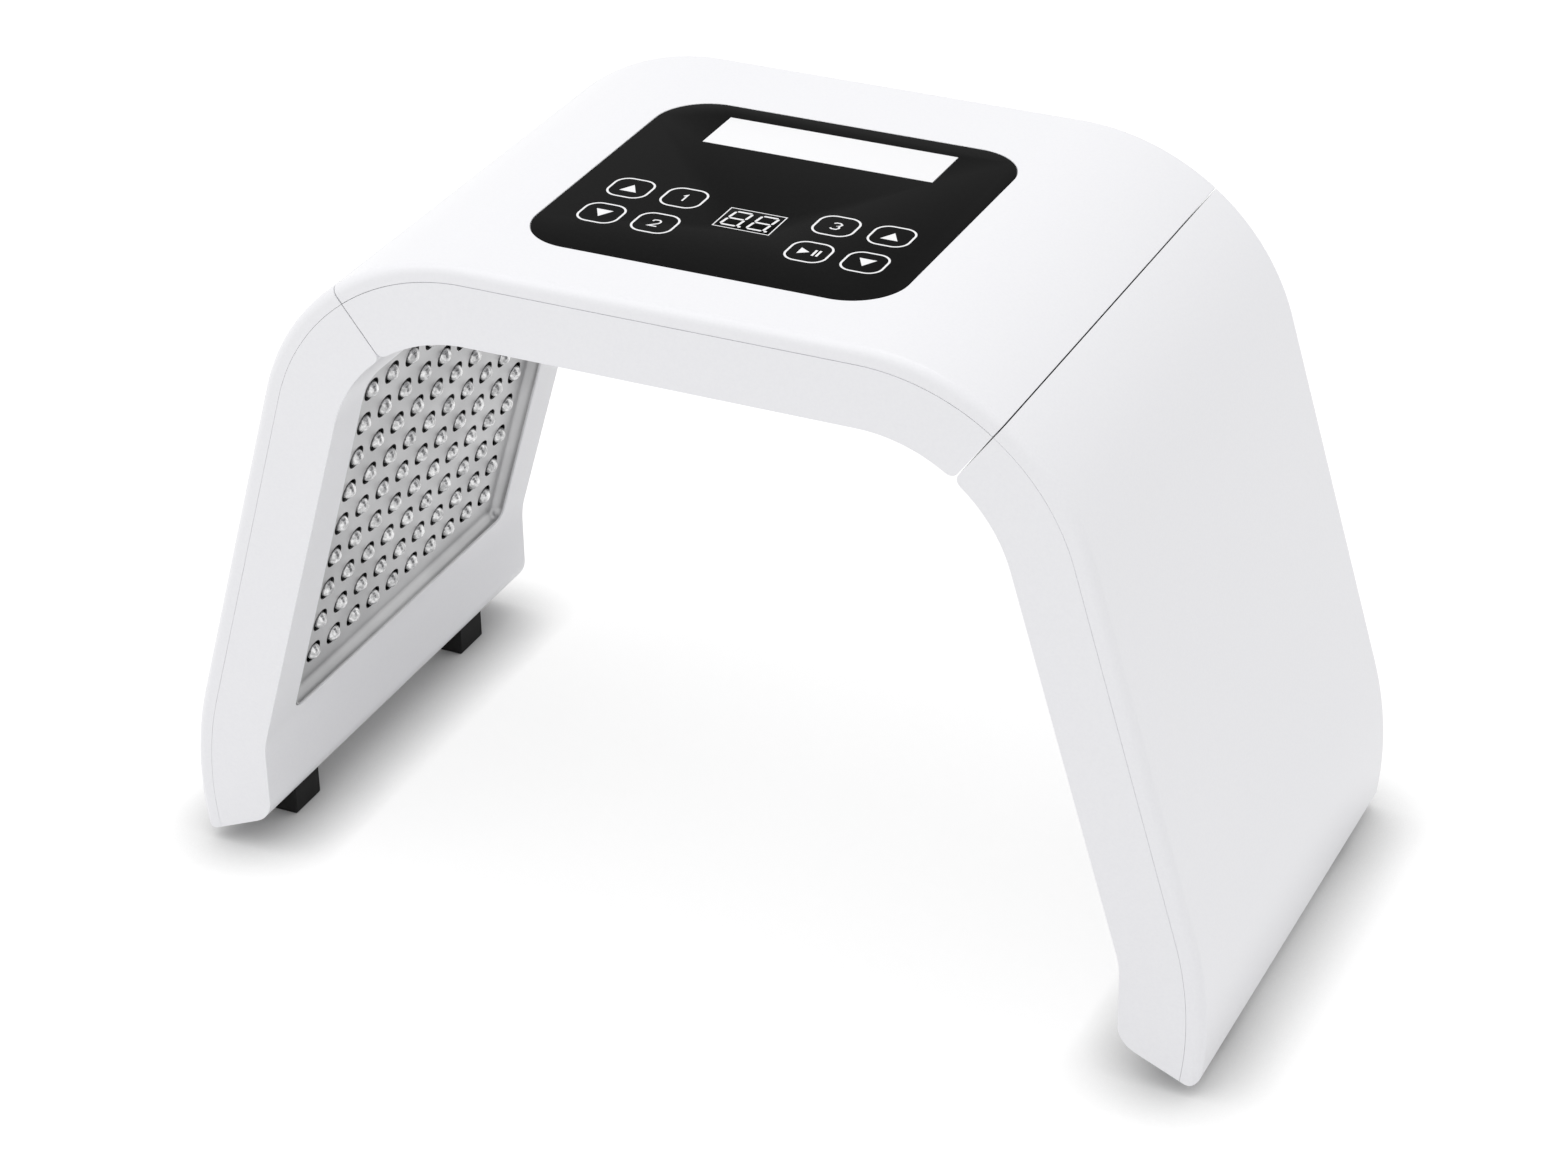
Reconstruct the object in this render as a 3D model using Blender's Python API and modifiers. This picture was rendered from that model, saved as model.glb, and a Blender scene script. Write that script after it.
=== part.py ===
"""Folding LED light therapy arch: a centre section, two hinged wings, LED panels and touch controls.

Metres, +Z up. The origin is on the floor under the middle of the arch, the front faces -Y,
and the arch runs along X. The right wing is on the +X side.
"""

import math

import bmesh
import bpy
from mathutils import Matrix, Vector

# Outer form of the arch, seen from the front
DEPTH = 0.230
HEIGHT = 0.302
TOP_FLAT_HALF = 0.083
SHOULDER_RADIUS = 0.100
WING_SLANT_DEG = 16.26
BODY_THICKNESS = 0.034
BEND_TOP = 0.075
BEND_END_HEIGHT = 0.0092
BEND_DEG = 23.8
CREASE_HEIGHT = 0.0545
CREASE_RADIUS = 0.040
BASE_RISE = 0.0185
BASE_SLOPE_DEG = 23.5
BASE_CORNER_RADIUS = 0.012
TIP_RADIUS = 0.0045

# Shells: outer covers and inner frames
WALL = 0.0025
SEAM_WALL = 0.004
SEAM_GAP = 0.0005
SEAM_CORNER_RADIUS = 0.0035
COVER_RIM = 0.0075
PARTING_GAP = 0.0003
OUTER_EDGE_RADIUS = 0.004
INNER_EDGE_RADIUS = 0.003
FIT_GAP = 0.0003
OVERRUN = 0.004
MERGE_DISTANCE = 0.000005
TAB_WIDTH = 0.022
TAB_REACH = 0.007
TAB_THICKNESS = 0.0015

# LED windows, reflector trays and LED boards
WINDOW_INSET = 0.0225
WING_WINDOW_TOP = -0.013
WING_WINDOW_CREASE_MARGIN = 0.0069
CENTRE_WINDOW_MARGIN = 0.007
WINDOW_CORNER = 0.006
TRAY_GAP = 0.0006
TRAY_FACE = 0.005
TRAY_LIP = 0.0008
TRAY_SHEET = 0.001
LED_MARGIN_WING = 0.0191
LED_MARGIN_CENTRE = 0.0144
LED_MARGIN_ACROSS = 0.0169
LED_ROW_SHIFT = 0.0009
LED_ROWS_WING = 9
LED_ROWS_CENTRE = 8
LED_COLUMNS = 10
LED_BRIDGE = 0.0029
LED_CLEARANCE = 0.0018
LED_TIP_SHARE = 0.55
LED_TIP = 0.001
BOARD_FACE = 0.009
BOARD_THICKNESS = 0.0016
BOARD_MARGIN_ALONG = 0.002
BOARD_INSET = 0.014
POST_RADIUS = 0.003
POST_INSET = 0.024
POST_SIDE_INSET = 0.0185
STUD_RADIUS = 0.0025
STUD_INSET = 0.0075

# Screws
SCREW_RADIUS = 0.0013
SCREW_HEAD_RADIUS = 0.0026
SCREW_HEAD_HEIGHT = 0.0016
POST_SCREW_LENGTH = 0.006

# Hinges, one long one in each seam
HINGE_DEPTH = 0.003
HINGE_END_MARGIN = 0.040
KNUCKLE_COUNT = 5
KNUCKLE_RADIUS = 0.0025
KNUCKLE_GAP = 0.0004
NOTCH_GAP = 0.0005
PIN_RADIUS = 0.0011
PIN_BORE_RADIUS = 0.00124
PIN_OVERHANG = 0.0002
LEAF_WIDTH = 0.016
LEAF_THICKNESS = 0.0011
TONGUE_THICKNESS = 0.0008
LEAF_SCREW_HEIGHT = 0.0105
LEAF_SCREW_INSET = 0.023

# Feet
FOOT_OFFSET = 0.0075
FOOT_WIDTH = 0.012
FOOT_LENGTH = 0.020
FOOT_INSET = 0.031
FOOT_EDGE = 0.001
FOOT_SCREW_RECESS = 0.003
FOOT_SCREW_LENGTH = 0.018

# Control panel and what lies under it
PANEL_HALF_WIDTH = 0.080
PANEL_FRONT = -0.0816
PANEL_BACK = 0.0684
PANEL_CORNER = 0.023
PANEL_THICKNESS = 0.001
LABEL_HALF_WIDTH = 0.0514
LABEL_FRONT = 0.0306
LABEL_BACK = 0.0574
LABEL_THICKNESS = 0.0004
DISPLAY_HALF_WIDTH = 0.0125
DISPLAY_FRONT = -0.0404
DISPLAY_BACK = -0.0222
KEY_AREA_HALF = 0.068
KEY_AREA_FRONT = -0.060
KEY_AREA_BACK = -0.010
FILM_THICKNESS = 0.0005
CONTROL_BOARD_DROP = 0.0075
CONTROL_BOARD_HALF = 0.071
CONTROL_BOARD_MARGIN = 0.010
CONTROL_POST_X = 0.058
CONTROL_POST_MARGIN = 0.005

# Power board, inlet and switch at the back of the centre section
POWER_BOARD_WIDTH = 0.090
POWER_BOARD_DEPTH = 0.050
POWER_BOARD_X = -0.015
POWER_BOARD_Y = 0.045
POWER_BOARD_RISE = 0.017
POWER_POST_INSET = 0.005
TRANSFORMER_SIZE = 0.018
TRANSFORMER_HEIGHT = 0.009
TRANSFORMER_X = -0.020
CAPACITOR_RADIUS = 0.005
CAPACITOR_X = 0.006
SOCKET_WIDTH = 0.012
SOCKET_DEPTH = 0.006
SOCKET_HEIGHT = 0.005
SOCKET_X = 0.030
BAY_X = 0.0
BAY_WIDTH = 0.050
BAY_HEIGHT = 0.018
BAY_DEPTH = 0.004
BAY_WALL = 0.002
BAY_RISE = 0.015
BAY_CORNER = 0.002
INLET_X = -0.013
INLET_FLANGE_RADIUS = 0.0065
INLET_FLANGE_THICKNESS = 0.0012
INLET_RADIUS = 0.005
INLET_LENGTH = 0.009
INLET_BORE_RADIUS = 0.0029
INLET_BORE_DEPTH = 0.0075
INLET_PIN_RADIUS = 0.001
INLET_PIN_LENGTH = 0.006
SWITCH_X = 0.010
SWITCH_BEZEL_WIDTH = 0.021
SWITCH_BEZEL_HEIGHT = 0.015
SWITCH_BEZEL_THICKNESS = 0.0015
SWITCH_BODY_WIDTH = 0.019
SWITCH_BODY_HEIGHT = 0.013
SWITCH_BODY_DEPTH = 0.009
ROCKER_CAVITY_WIDTH = 0.015
ROCKER_CAVITY_HEIGHT = 0.0096
ROCKER_CAVITY_DEPTH = 0.0065
ROCKER_HALF_LENGTH = 0.0068
ROCKER_HALF_HEIGHT = 0.00445
ROCKER_PIVOT_DROP = 0.002
ROCKER_END_RISE = 0.001
ROCKER_BASE_DROP = 0.003
ROCKER_TILT_DEG = 8.0
TRUNNION_RADIUS = 0.001
TRUNNION_REACH = 0.0012

# Facet counts
SHOULDER_STEPS = 9
BEND_STEPS = 6
TIP_STEPS = 6
FILLET_STEP_DEG = 22.0
EDGE_SEGMENTS = 3
ROUND_SIDES = 12
SMALL_SIDES = 8
LED_SIDES = 5
KNUCKLE_SIDES = 12
INLET_SIDES = 16
SHARP_DEG = 28.0
FLAT_DEG = 0.05

# Worked out from the driving dimensions
TURN_DEG = 90.0 - WING_SLANT_DEG
SEAM_DEG = TURN_DEG / 2
INNER_FLOOR = HEIGHT - BODY_THICKNESS
HALF_DEPTH = DEPTH / 2
HINGE_LENGTH = DEPTH - 2 * HINGE_END_MARGIN
LEAF_SCREW_SPREAD = HINGE_LENGTH / 2 - LEAF_SCREW_INSET
WINDOW_HALF_DEPTH = HALF_DEPTH - WINDOW_INSET
BOARD_HALF_DEPTH = HALF_DEPTH - BOARD_INSET
POST_DEPTH = HALF_DEPTH - POST_SIDE_INSET
LED_PITCH_ACROSS = 2 * (WINDOW_HALF_DEPTH - LED_MARGIN_ACROSS) / (LED_COLUMNS - 1)
CENTRE_WINDOW_HALF = TOP_FLAT_HALF - CENTRE_WINDOW_MARGIN
HALF_SEAM = SEAM_GAP / 2
HALF_PARTING = PARTING_GAP / 2
LEAF_POCKET = LEAF_THICKNESS + FIT_GAP
SCREW_HOLE_RADIUS = SCREW_RADIUS + FIT_GAP


def direction(degrees):
    """Unit vector in the front view, turned from straight up towards +X."""
    return Vector((math.sin(math.radians(degrees)), math.cos(math.radians(degrees))))


SHOULDER_CENTRE = Vector((TOP_FLAT_HALF, HEIGHT - SHOULDER_RADIUS))
WING_NORMAL = direction(TURN_DEG)
WING_DOWN = direction(TURN_DEG + 90.0)
SEAM_OUT = direction(SEAM_DEG)
WING_START = SHOULDER_CENTRE + WING_NORMAL * SHOULDER_RADIUS
WING_INNER_START = WING_START - WING_NORMAL * BODY_THICKNESS
WING_STRAIGHT = (WING_START.y - BEND_TOP) / math.cos(math.radians(WING_SLANT_DEG))
BEND_SLOPES = math.sin(math.radians(WING_SLANT_DEG)) + math.sin(math.radians(BEND_DEG - WING_SLANT_DEG))
BEND_RADIUS = (BEND_TOP - BEND_END_HEIGHT) / BEND_SLOPES
BEND_CENTRE = WING_START + WING_DOWN * WING_STRAIGHT - WING_NORMAL * BEND_RADIUS
CREASE_RUN = (WING_INNER_START.y - CREASE_HEIGHT) / math.cos(math.radians(WING_SLANT_DEG))
WING_WINDOW_BOTTOM = CREASE_RUN - WING_WINDOW_CREASE_MARGIN
CREASE = WING_INNER_START + WING_DOWN * CREASE_RUN
BASE_CORNER = Vector((CREASE.x, BASE_RISE))
BASE_DIRECTION = direction(90.0 + BASE_SLOPE_DEG)
BASE_UP = direction(BASE_SLOPE_DEG)
INNER_SHOULDER_RADIUS = SHOULDER_RADIUS - BODY_THICKNESS
HINGE_POINT = SHOULDER_CENTRE + SEAM_OUT * (INNER_SHOULDER_RADIUS + HINGE_DEPTH)


def reset_scene():
    """Start from an empty scene and make the two collections."""
    for obj in list(bpy.data.objects):
        bpy.data.objects.remove(obj, do_unlink=True)
    for label in ("light_therapy_arch", "cutters"):
        collection = bpy.data.collections.new(label)
        bpy.context.scene.collection.children.link(collection)


def material(label, colour, roughness, metallic=0.0):
    """A plain Principled material."""
    made = bpy.data.materials.new(label)
    made.use_nodes = True
    shader = made.node_tree.nodes["Principled BSDF"]
    shader.inputs["Base Color"].default_value = (*colour, 1.0)
    shader.inputs["Roughness"].default_value = roughness
    shader.inputs["Metallic"].default_value = metallic
    return made


def make_materials():
    """Every finish used on the part."""
    return {
        "white_shell": material("white_shell", (0.86, 0.86, 0.88), 0.25),
        "panel_black": material("panel_black", (0.018, 0.018, 0.018), 0.25),
        "label_white": material("label_white", (0.88, 0.88, 0.89), 0.4),
        "display_dark": material("display_dark", (0.008, 0.008, 0.008), 0.15),
        "reflector_silver": material("reflector_silver", (0.62, 0.62, 0.63), 0.35, 1.0),
        "board": material("board", (0.80, 0.80, 0.78), 0.5),
        "control_board_green": material("control_board_green", (0.02, 0.16, 0.07), 0.5),
        "steel": material("steel", (0.55, 0.55, 0.56), 0.3, 1.0),
        "rubber_black": material("rubber_black", (0.015, 0.015, 0.015), 0.8),
        "fitting_black": material("fitting_black", (0.02, 0.02, 0.02), 0.45),
        "film_clear": material("film_clear", (0.70, 0.62, 0.45), 0.4),
    }


def keep(obj, finish=None, parent=None, cutter=False):
    """Put an object in its collection, and give it its material and its parent empty."""
    label = "cutters" if cutter else "light_therapy_arch"
    bpy.data.collections[label].objects.link(obj)
    if cutter:
        obj.hide_render = True
        obj.display_type = "WIRE"
    if finish is not None:
        obj.data.materials.append(finish)
    if parent is not None:
        obj.parent = parent
        obj.matrix_parent_inverse = parent.matrix_world.inverted()
    return obj


def shade(mesh):
    """Smooth the round faces and keep the real edges sharp."""
    mesh.shade_smooth()
    mesh.set_sharp_from_angle(angle=math.radians(SHARP_DEG))


def slab_mesh(label, points, thickness):
    """Mesh of a flat outline in XY, with its thickness centred on Z."""
    data = bpy.data.curves.new(label, "CURVE")
    data.dimensions = "2D"
    data.fill_mode = "BOTH"
    data.extrude = thickness / 2
    spline = data.splines.new("POLY")
    spline.points.add(len(points) - 1)
    for place, point in zip(spline.points, points):
        place.co = (point[0], point[1], 0.0, 1.0)
    spline.use_cyclic_u = True
    guide = bpy.data.objects.new(label, data)
    bpy.context.scene.collection.objects.link(guide)
    bpy.context.view_layer.update()
    evaluated = guide.evaluated_get(bpy.context.evaluated_depsgraph_get())
    mesh = bpy.data.meshes.new_from_object(evaluated)
    bpy.data.objects.remove(guide, do_unlink=True)
    bm = bmesh.new()
    bm.from_mesh(mesh)
    bmesh.ops.remove_doubles(bm, verts=bm.verts, dist=MERGE_DISTANCE)
    bmesh.ops.dissolve_limit(bm, angle_limit=math.radians(FLAT_DEG), verts=bm.verts, edges=bm.edges)
    bmesh.ops.recalc_face_normals(bm, faces=bm.faces)
    bm.to_mesh(mesh)
    bm.free()
    return mesh


def slab(label, points, thickness, place, **kind):
    """Object of a flat outline, placed by a matrix."""
    obj = bpy.data.objects.new(label, slab_mesh(label, points, thickness))
    obj.matrix_world = place
    return keep(obj, **kind)


def edge_profile(half_depth, radius):
    """Insets and heights of outlines that round the edges of both end faces."""
    turns = [math.pi / 2 * i / EDGE_SEGMENTS for i in range(EDGE_SEGMENTS + 1)]
    front = [(radius * (1 - math.cos(turn)), half_depth - radius * (1 - math.sin(turn))) for turn in turns]
    return [(inset, -height) for inset, height in front[::-1]] + front


def lofted(label, outlines, place, **kind):
    """Object through outlines of equally many points, each at its own height along Z."""
    mesh = bpy.data.meshes.new(label)
    bm = bmesh.new()
    rings = [[bm.verts.new((point.x, point.y, height)) for point in outline] for outline, height in outlines]
    for lower, upper in zip(rings, rings[1:]):
        for i, vert in enumerate(lower):
            bm.faces.new((lower[i - 1], vert, upper[i], upper[i - 1]))
    bm.faces.new(rings[0])
    bm.faces.new(rings[-1])
    bmesh.ops.dissolve_limit(bm, angle_limit=math.radians(FLAT_DEG), verts=bm.verts, edges=bm.edges)
    bmesh.ops.recalc_face_normals(bm, faces=bm.faces)
    bm.to_mesh(mesh)
    bm.free()
    obj = bpy.data.objects.new(label, mesh)
    obj.matrix_world = place
    return keep(obj, **kind)


def solids(label, pieces, place, **kind):
    """Object made of primitives that don't touch: boxes and cones with their own places."""
    mesh = bpy.data.meshes.new(label)
    bm = bmesh.new()
    for shape, matrix in pieces:
        if shape[0] == "box":
            bmesh.ops.create_cube(bm, size=1.0, matrix=matrix @ Matrix.Diagonal((*shape[1], 1.0)))
        else:
            sides, lower, upper, height = shape[1:]
            bmesh.ops.create_cone(bm, cap_ends=True, segments=sides, radius1=lower,
                                  radius2=upper, depth=height, matrix=matrix)
    bm.to_mesh(mesh)
    bm.free()
    obj = bpy.data.objects.new(label, mesh)
    obj.matrix_world = place
    return keep(obj, **kind)


def box(low, high):
    """A box piece for solids, from its lowest and highest corners."""
    low = Vector(low)
    high = Vector(high)
    return ("box", high - low), Matrix.Translation((low + high) / 2)


def rod(sides, radius, start, end, end_radius=None):
    """A cylinder piece for solids from one point to another, or a taper to another radius."""
    start = Vector(start)
    end = Vector(end)
    turn = (end - start).to_track_quat("Z", "Y").to_matrix().to_4x4()
    upper = radius if end_radius is None else end_radius
    return ("rod", sides, radius, upper, (end - start).length), Matrix.Translation((start + end) / 2) @ turn


def combine(obj, tool, operation):
    """Boolean with a hidden helper object, kept as a modifier."""
    modifier = obj.modifiers.new(operation.lower(), "BOOLEAN")
    modifier.operation = operation
    modifier.solver = "EXACT"
    modifier.object = tool


def bevel_run(obj, path, half_depth, radius):
    """Round the edges of an extruded outline where its end faces meet a run of outline points."""
    near = MERGE_DISTANCE
    end = half_depth - near
    bm = bmesh.new()
    bm.from_mesh(obj.data)

    def on_path(vert):
        return any(abs(vert.co.x - p[0]) < near and abs(vert.co.y - p[1]) < near for p in path)

    chosen = []
    for edge in bm.edges:
        first, second = edge.verts
        same_end = first.co.z * second.co.z > 0 and min(abs(first.co.z), abs(second.co.z)) > end
        if same_end and on_path(first) and on_path(second):
            chosen.append(edge)
    bmesh.ops.bevel(bm, geom=chosen, offset=radius, offset_type="OFFSET", segments=EDGE_SEGMENTS,
                    profile=0.5, affect="EDGES", clamp_overlap=True)
    bmesh.ops.remove_doubles(bm, verts=bm.verts, dist=MERGE_DISTANCE)
    bmesh.ops.recalc_face_normals(bm, faces=bm.faces)
    bm.to_mesh(obj.data)
    bm.free()


def meet(start, along, other, other_along):
    """Point where two lines in the front view cross."""
    across = along.x * other_along.y - along.y * other_along.x
    gap = other - start
    reach = (gap.x * other_along.y - gap.y * other_along.x) / across
    return start + along * reach


def arc(centre, radius, first, last, steps):
    """Points of an arc, by angles turned from straight up towards +X."""
    return [centre + direction(first + (last - first) * i / steps) * radius for i in range(steps + 1)]


def fillet(before, corner, after, radius):
    """Points that round one corner of an outline."""
    back = (before - corner).normalized()
    ahead = (after - corner).normalized()
    half = back.angle(ahead) / 2
    reach = radius / math.tan(half)
    centre = corner + (back + ahead).normalized() * (radius / math.sin(half))
    start = corner + back * reach - centre
    end = corner + ahead * reach - centre
    sweep = math.atan2(start.x * end.y - start.y * end.x, start.dot(end))
    steps = max(2, math.ceil(abs(math.degrees(sweep)) / FILLET_STEP_DEG))
    return [centre + Matrix.Rotation(sweep * i / steps, 2) @ start for i in range(steps + 1)]


def rounded(corners, radius):
    """Closed outline with every corner rounded alike."""
    points = []
    count = len(corners)
    for i in range(count):
        points += fillet(corners[i - 1], corners[i], corners[(i + 1) % count], radius)
    return points


def rectangle(half_width, low, high):
    """Corners of a rectangle centred on x = 0."""
    return [Vector((-half_width, low)), Vector((half_width, low)),
            Vector((half_width, high)), Vector((-half_width, high))]


def past_seam(radius, gap):
    """Angle of the point on a shoulder arc that lies a gap past the seam plane."""
    return SEAM_DEG + math.degrees(math.asin(gap / radius))


def bend_point(radius, base_inset):
    """Where a circle about the bend's centre meets the base line, moved up by an inset."""
    start = BASE_CORNER + BASE_UP * base_inset - BEND_CENTRE
    back = start.dot(BASE_DIRECTION)
    reach = math.sqrt(radius * radius - start.length_squared + back * back) - back
    return BEND_CENTRE + start + BASE_DIRECTION * reach


def bearing(centre, point):
    """Angle of a point seen from a centre, turned from straight up towards +X."""
    away = point - centre
    return math.degrees(math.atan2(away.x, away.y))


def wing_edge(inset, seam_inset, end):
    """The wing's outer line, set in by an inset, from the seam to a point at the end of its bend."""
    radius = SHOULDER_RADIUS - inset
    run = arc(SHOULDER_CENTRE, radius, past_seam(radius, seam_inset), TURN_DEG, SHOULDER_STEPS)
    last = bearing(BEND_CENTRE, end)
    return run + arc(BEND_CENTRE, BEND_RADIUS - inset, TURN_DEG, last, BEND_STEPS)


def wing_run(inset, seam_inset, base_inset):
    """The wing's outer line, set in by an inset, from the seam to the base line."""
    return wing_edge(inset, seam_inset, bend_point(BEND_RADIUS - inset, base_inset))


def tipped_run(inset, seam_inset, base_inset, tip_radius, edge_inset):
    """The wing's outer line with its tip rounded; a further inset of the line leaves the tip in place."""
    reach = BEND_RADIUS - inset - tip_radius
    centre = bend_point(reach, base_inset + tip_radius)
    edge = BEND_RADIUS - inset - edge_inset
    turn = (edge * edge - reach * reach - tip_radius * tip_radius) / (2 * reach * tip_radius)
    first = bearing(BEND_CENTRE, centre) + math.degrees(math.acos(min(turn, 1.0)))
    tip = arc(centre, tip_radius, first, 180.0 + BASE_SLOPE_DEG, TIP_STEPS)
    return wing_edge(inset + edge_inset, seam_inset, tip[0]) + tip[1:]


def centre_run(inset, seam_inset):
    """The centre section's line from the left seam over the top to the right seam."""
    radius = SHOULDER_RADIUS - inset
    right = arc(SHOULDER_CENTRE, radius, 0.0, past_seam(radius, -seam_inset), SHOULDER_STEPS)
    left = [Vector((-p.x, p.y)) for p in right[::-1]]
    return left + right


def centre_frame_outline(outer_inset, inner_inset, seam_inset, corner_radius):
    """Outline of the centre frame, with its two lower seam corners rounded."""
    outer = centre_run(outer_inset, seam_inset)
    inner = centre_run(inner_inset, seam_inset)[::-1]
    first = fillet(outer[-1], inner[0], inner[1], corner_radius)
    last = fillet(inner[-2], inner[-1], outer[0], corner_radius)
    lower = first + inner[1:-1] + last
    return outer, lower


def wing_frame_outline(outer_inset, inner_inset, seam_inset, base_inset, corner_radius, base_radius):
    """Outline of a wing frame: its outer run, and its inner run with the corners rounded."""
    outer = wing_run(outer_inset, seam_inset, base_inset)
    radius = SHOULDER_RADIUS - inner_inset
    inner = arc(SHOULDER_CENTRE, radius, past_seam(radius, seam_inset), TURN_DEG, SHOULDER_STEPS)
    shift = BODY_THICKNESS - inner_inset
    down = direction(180.0)
    start = WING_INNER_START + WING_NORMAL * shift
    crease = meet(start, WING_DOWN, CREASE + Vector((shift, 0.0)), down)
    corner = meet(crease, down, BASE_CORNER + BASE_UP * base_inset, BASE_DIRECTION)
    lower = fillet(outer[0], inner[0], inner[1], corner_radius) + inner[1:]
    lower += fillet(inner[-1], crease, corner, CREASE_RADIUS)
    lower += fillet(crease, corner, outer[-1], base_radius)
    return outer, lower


def mirrored(points, side):
    """Outline points for the left or the right wing."""
    return [Vector((p.x * side, p.y)) for p in points]


FRONT_VIEW = Matrix.Rotation(math.radians(90.0), 4, "X")


def panel_place(section):
    """Frame of a section's LED window: X along it, Y across, Z outwards from the inner face."""
    side = section["side"]
    if side == 0:
        return Matrix.Translation((0.0, 0.0, INNER_FLOOR))
    middle = WING_INNER_START + WING_DOWN * section["window_middle"]
    turn = Matrix.Rotation(math.radians(TURN_DEG) * side, 4, "Y")
    return Matrix.Translation((middle.x * side, 0.0, middle.y)) @ turn


def hinge_place(side):
    """Frame of a hinge: Y along its axis, Z outwards in the seam plane."""
    turn = Matrix.Rotation(math.radians(SEAM_DEG) * side, 4, "Y")
    return Matrix.Translation((HINGE_POINT.x * side, 0.0, HINGE_POINT.y)) @ turn


def corner_places(half_along, half_across):
    """The four corners of a rectangle about the origin."""
    return [(x * half_along, y * half_across) for x in (-1, 1) for y in (-1, 1)]


def led_pitch(section):
    """Distance between the rows of LEDs of a section."""
    return 2 * (section["window_half"] - section["led_margin"]) / (section["rows"] - 1)


def led_hole_radius(section):
    """Radius of the tray's holes, which leaves a bridge between neighbours."""
    return min(led_pitch(section), LED_PITCH_ACROSS) / 2 - LED_BRIDGE


def led_places(section):
    """Centres of the LEDs in the window's frame."""
    rows = section["rows"]
    pitch = led_pitch(section)
    places = []
    for row in range(rows):
        along = (row - (rows - 1) / 2) * pitch - section["row_shift"]
        for column in range(LED_COLUMNS):
            across = (column - (LED_COLUMNS - 1) / 2) * LED_PITCH_ACROSS
            places.append((along * section["facing"], across))
    return places


def make_cover(section, finishes):
    """Glossy outer shell with its rim wrapped on the end faces, and tabs that reach into the frame."""
    label = section["name"] + "_cover"
    side = section["side"]
    rim = COVER_RIM - HALF_PARTING
    parent = section["parent"]
    if side == 0:
        edge = centre_run(0.0, HALF_SEAM)
        outline = edge + centre_run(rim, HALF_SEAM)[::-1]
        hollow = centre_run(WALL, HALF_SEAM + SEAM_WALL)
        hollow += centre_run(rim + OVERRUN, HALF_SEAM + SEAM_WALL)[::-1]
        cover = slab(label, outline, DEPTH, FRONT_VIEW, finish=finishes["white_shell"], parent=parent)
        bevel_run(cover, edge, HALF_DEPTH, OUTER_EDGE_RADIUS)
    else:
        inner = wing_run(rim, HALF_SEAM, 0.0)[::-1]
        outlines = [(mirrored(tipped_run(0.0, HALF_SEAM, 0.0, TIP_RADIUS, inset) + inner, side), height)
                    for inset, height in edge_profile(HALF_DEPTH, OUTER_EDGE_RADIUS)]
        hollow = tipped_run(WALL, HALF_SEAM + SEAM_WALL, WALL, TIP_RADIUS - WALL, 0.0)
        hollow = mirrored(hollow + wing_run(rim + OVERRUN, HALF_SEAM + SEAM_WALL, WALL)[::-1], side)
        cover = lofted(label, outlines, FRONT_VIEW, finish=finishes["white_shell"], parent=parent)
    cavity = slab(label + "_cavity", hollow, DEPTH - 2 * WALL, FRONT_VIEW, parent=parent, cutter=True)
    combine(cover, cavity, "DIFFERENCE")
    combine(cover, make_tabs(section), "UNION")
    return cover


def make_tabs(section):
    """Locating tabs on the cover's end walls, which reach past the parting line."""
    top = BODY_THICKNESS - WALL - FIT_GAP
    low = BODY_THICKNESS - COVER_RIM - TAB_REACH
    inner = HALF_DEPTH - WALL - FIT_GAP
    outer = HALF_DEPTH - WALL / 2
    pieces = []
    for along in (-section["tab_spread"], section["tab_spread"]):
        for end in (-1, 1):
            ends = sorted((end * (inner - TAB_THICKNESS), end * inner))
            pieces.append(box((along - TAB_WIDTH / 2, ends[0], low), (along + TAB_WIDTH / 2, ends[1], top)))
    tabs = solids(section["name"] + "_tabs", pieces, panel_place(section),
                  parent=section["parent"], cutter=True)
    roots = []
    foot = BODY_THICKNESS - COVER_RIM + FIT_GAP
    for along in (-section["tab_spread"], section["tab_spread"]):
        for end in (-1, 1):
            ends = sorted((end * (inner - TAB_THICKNESS / 2), end * outer))
            roots.append(box((along - TAB_WIDTH / 3, ends[0], foot), (along + TAB_WIDTH / 3, ends[1], top)))
    combine(tabs, solids(section["name"] + "_tab_roots", roots, panel_place(section),
                         parent=section["parent"], cutter=True), "UNION")
    return tabs


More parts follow.
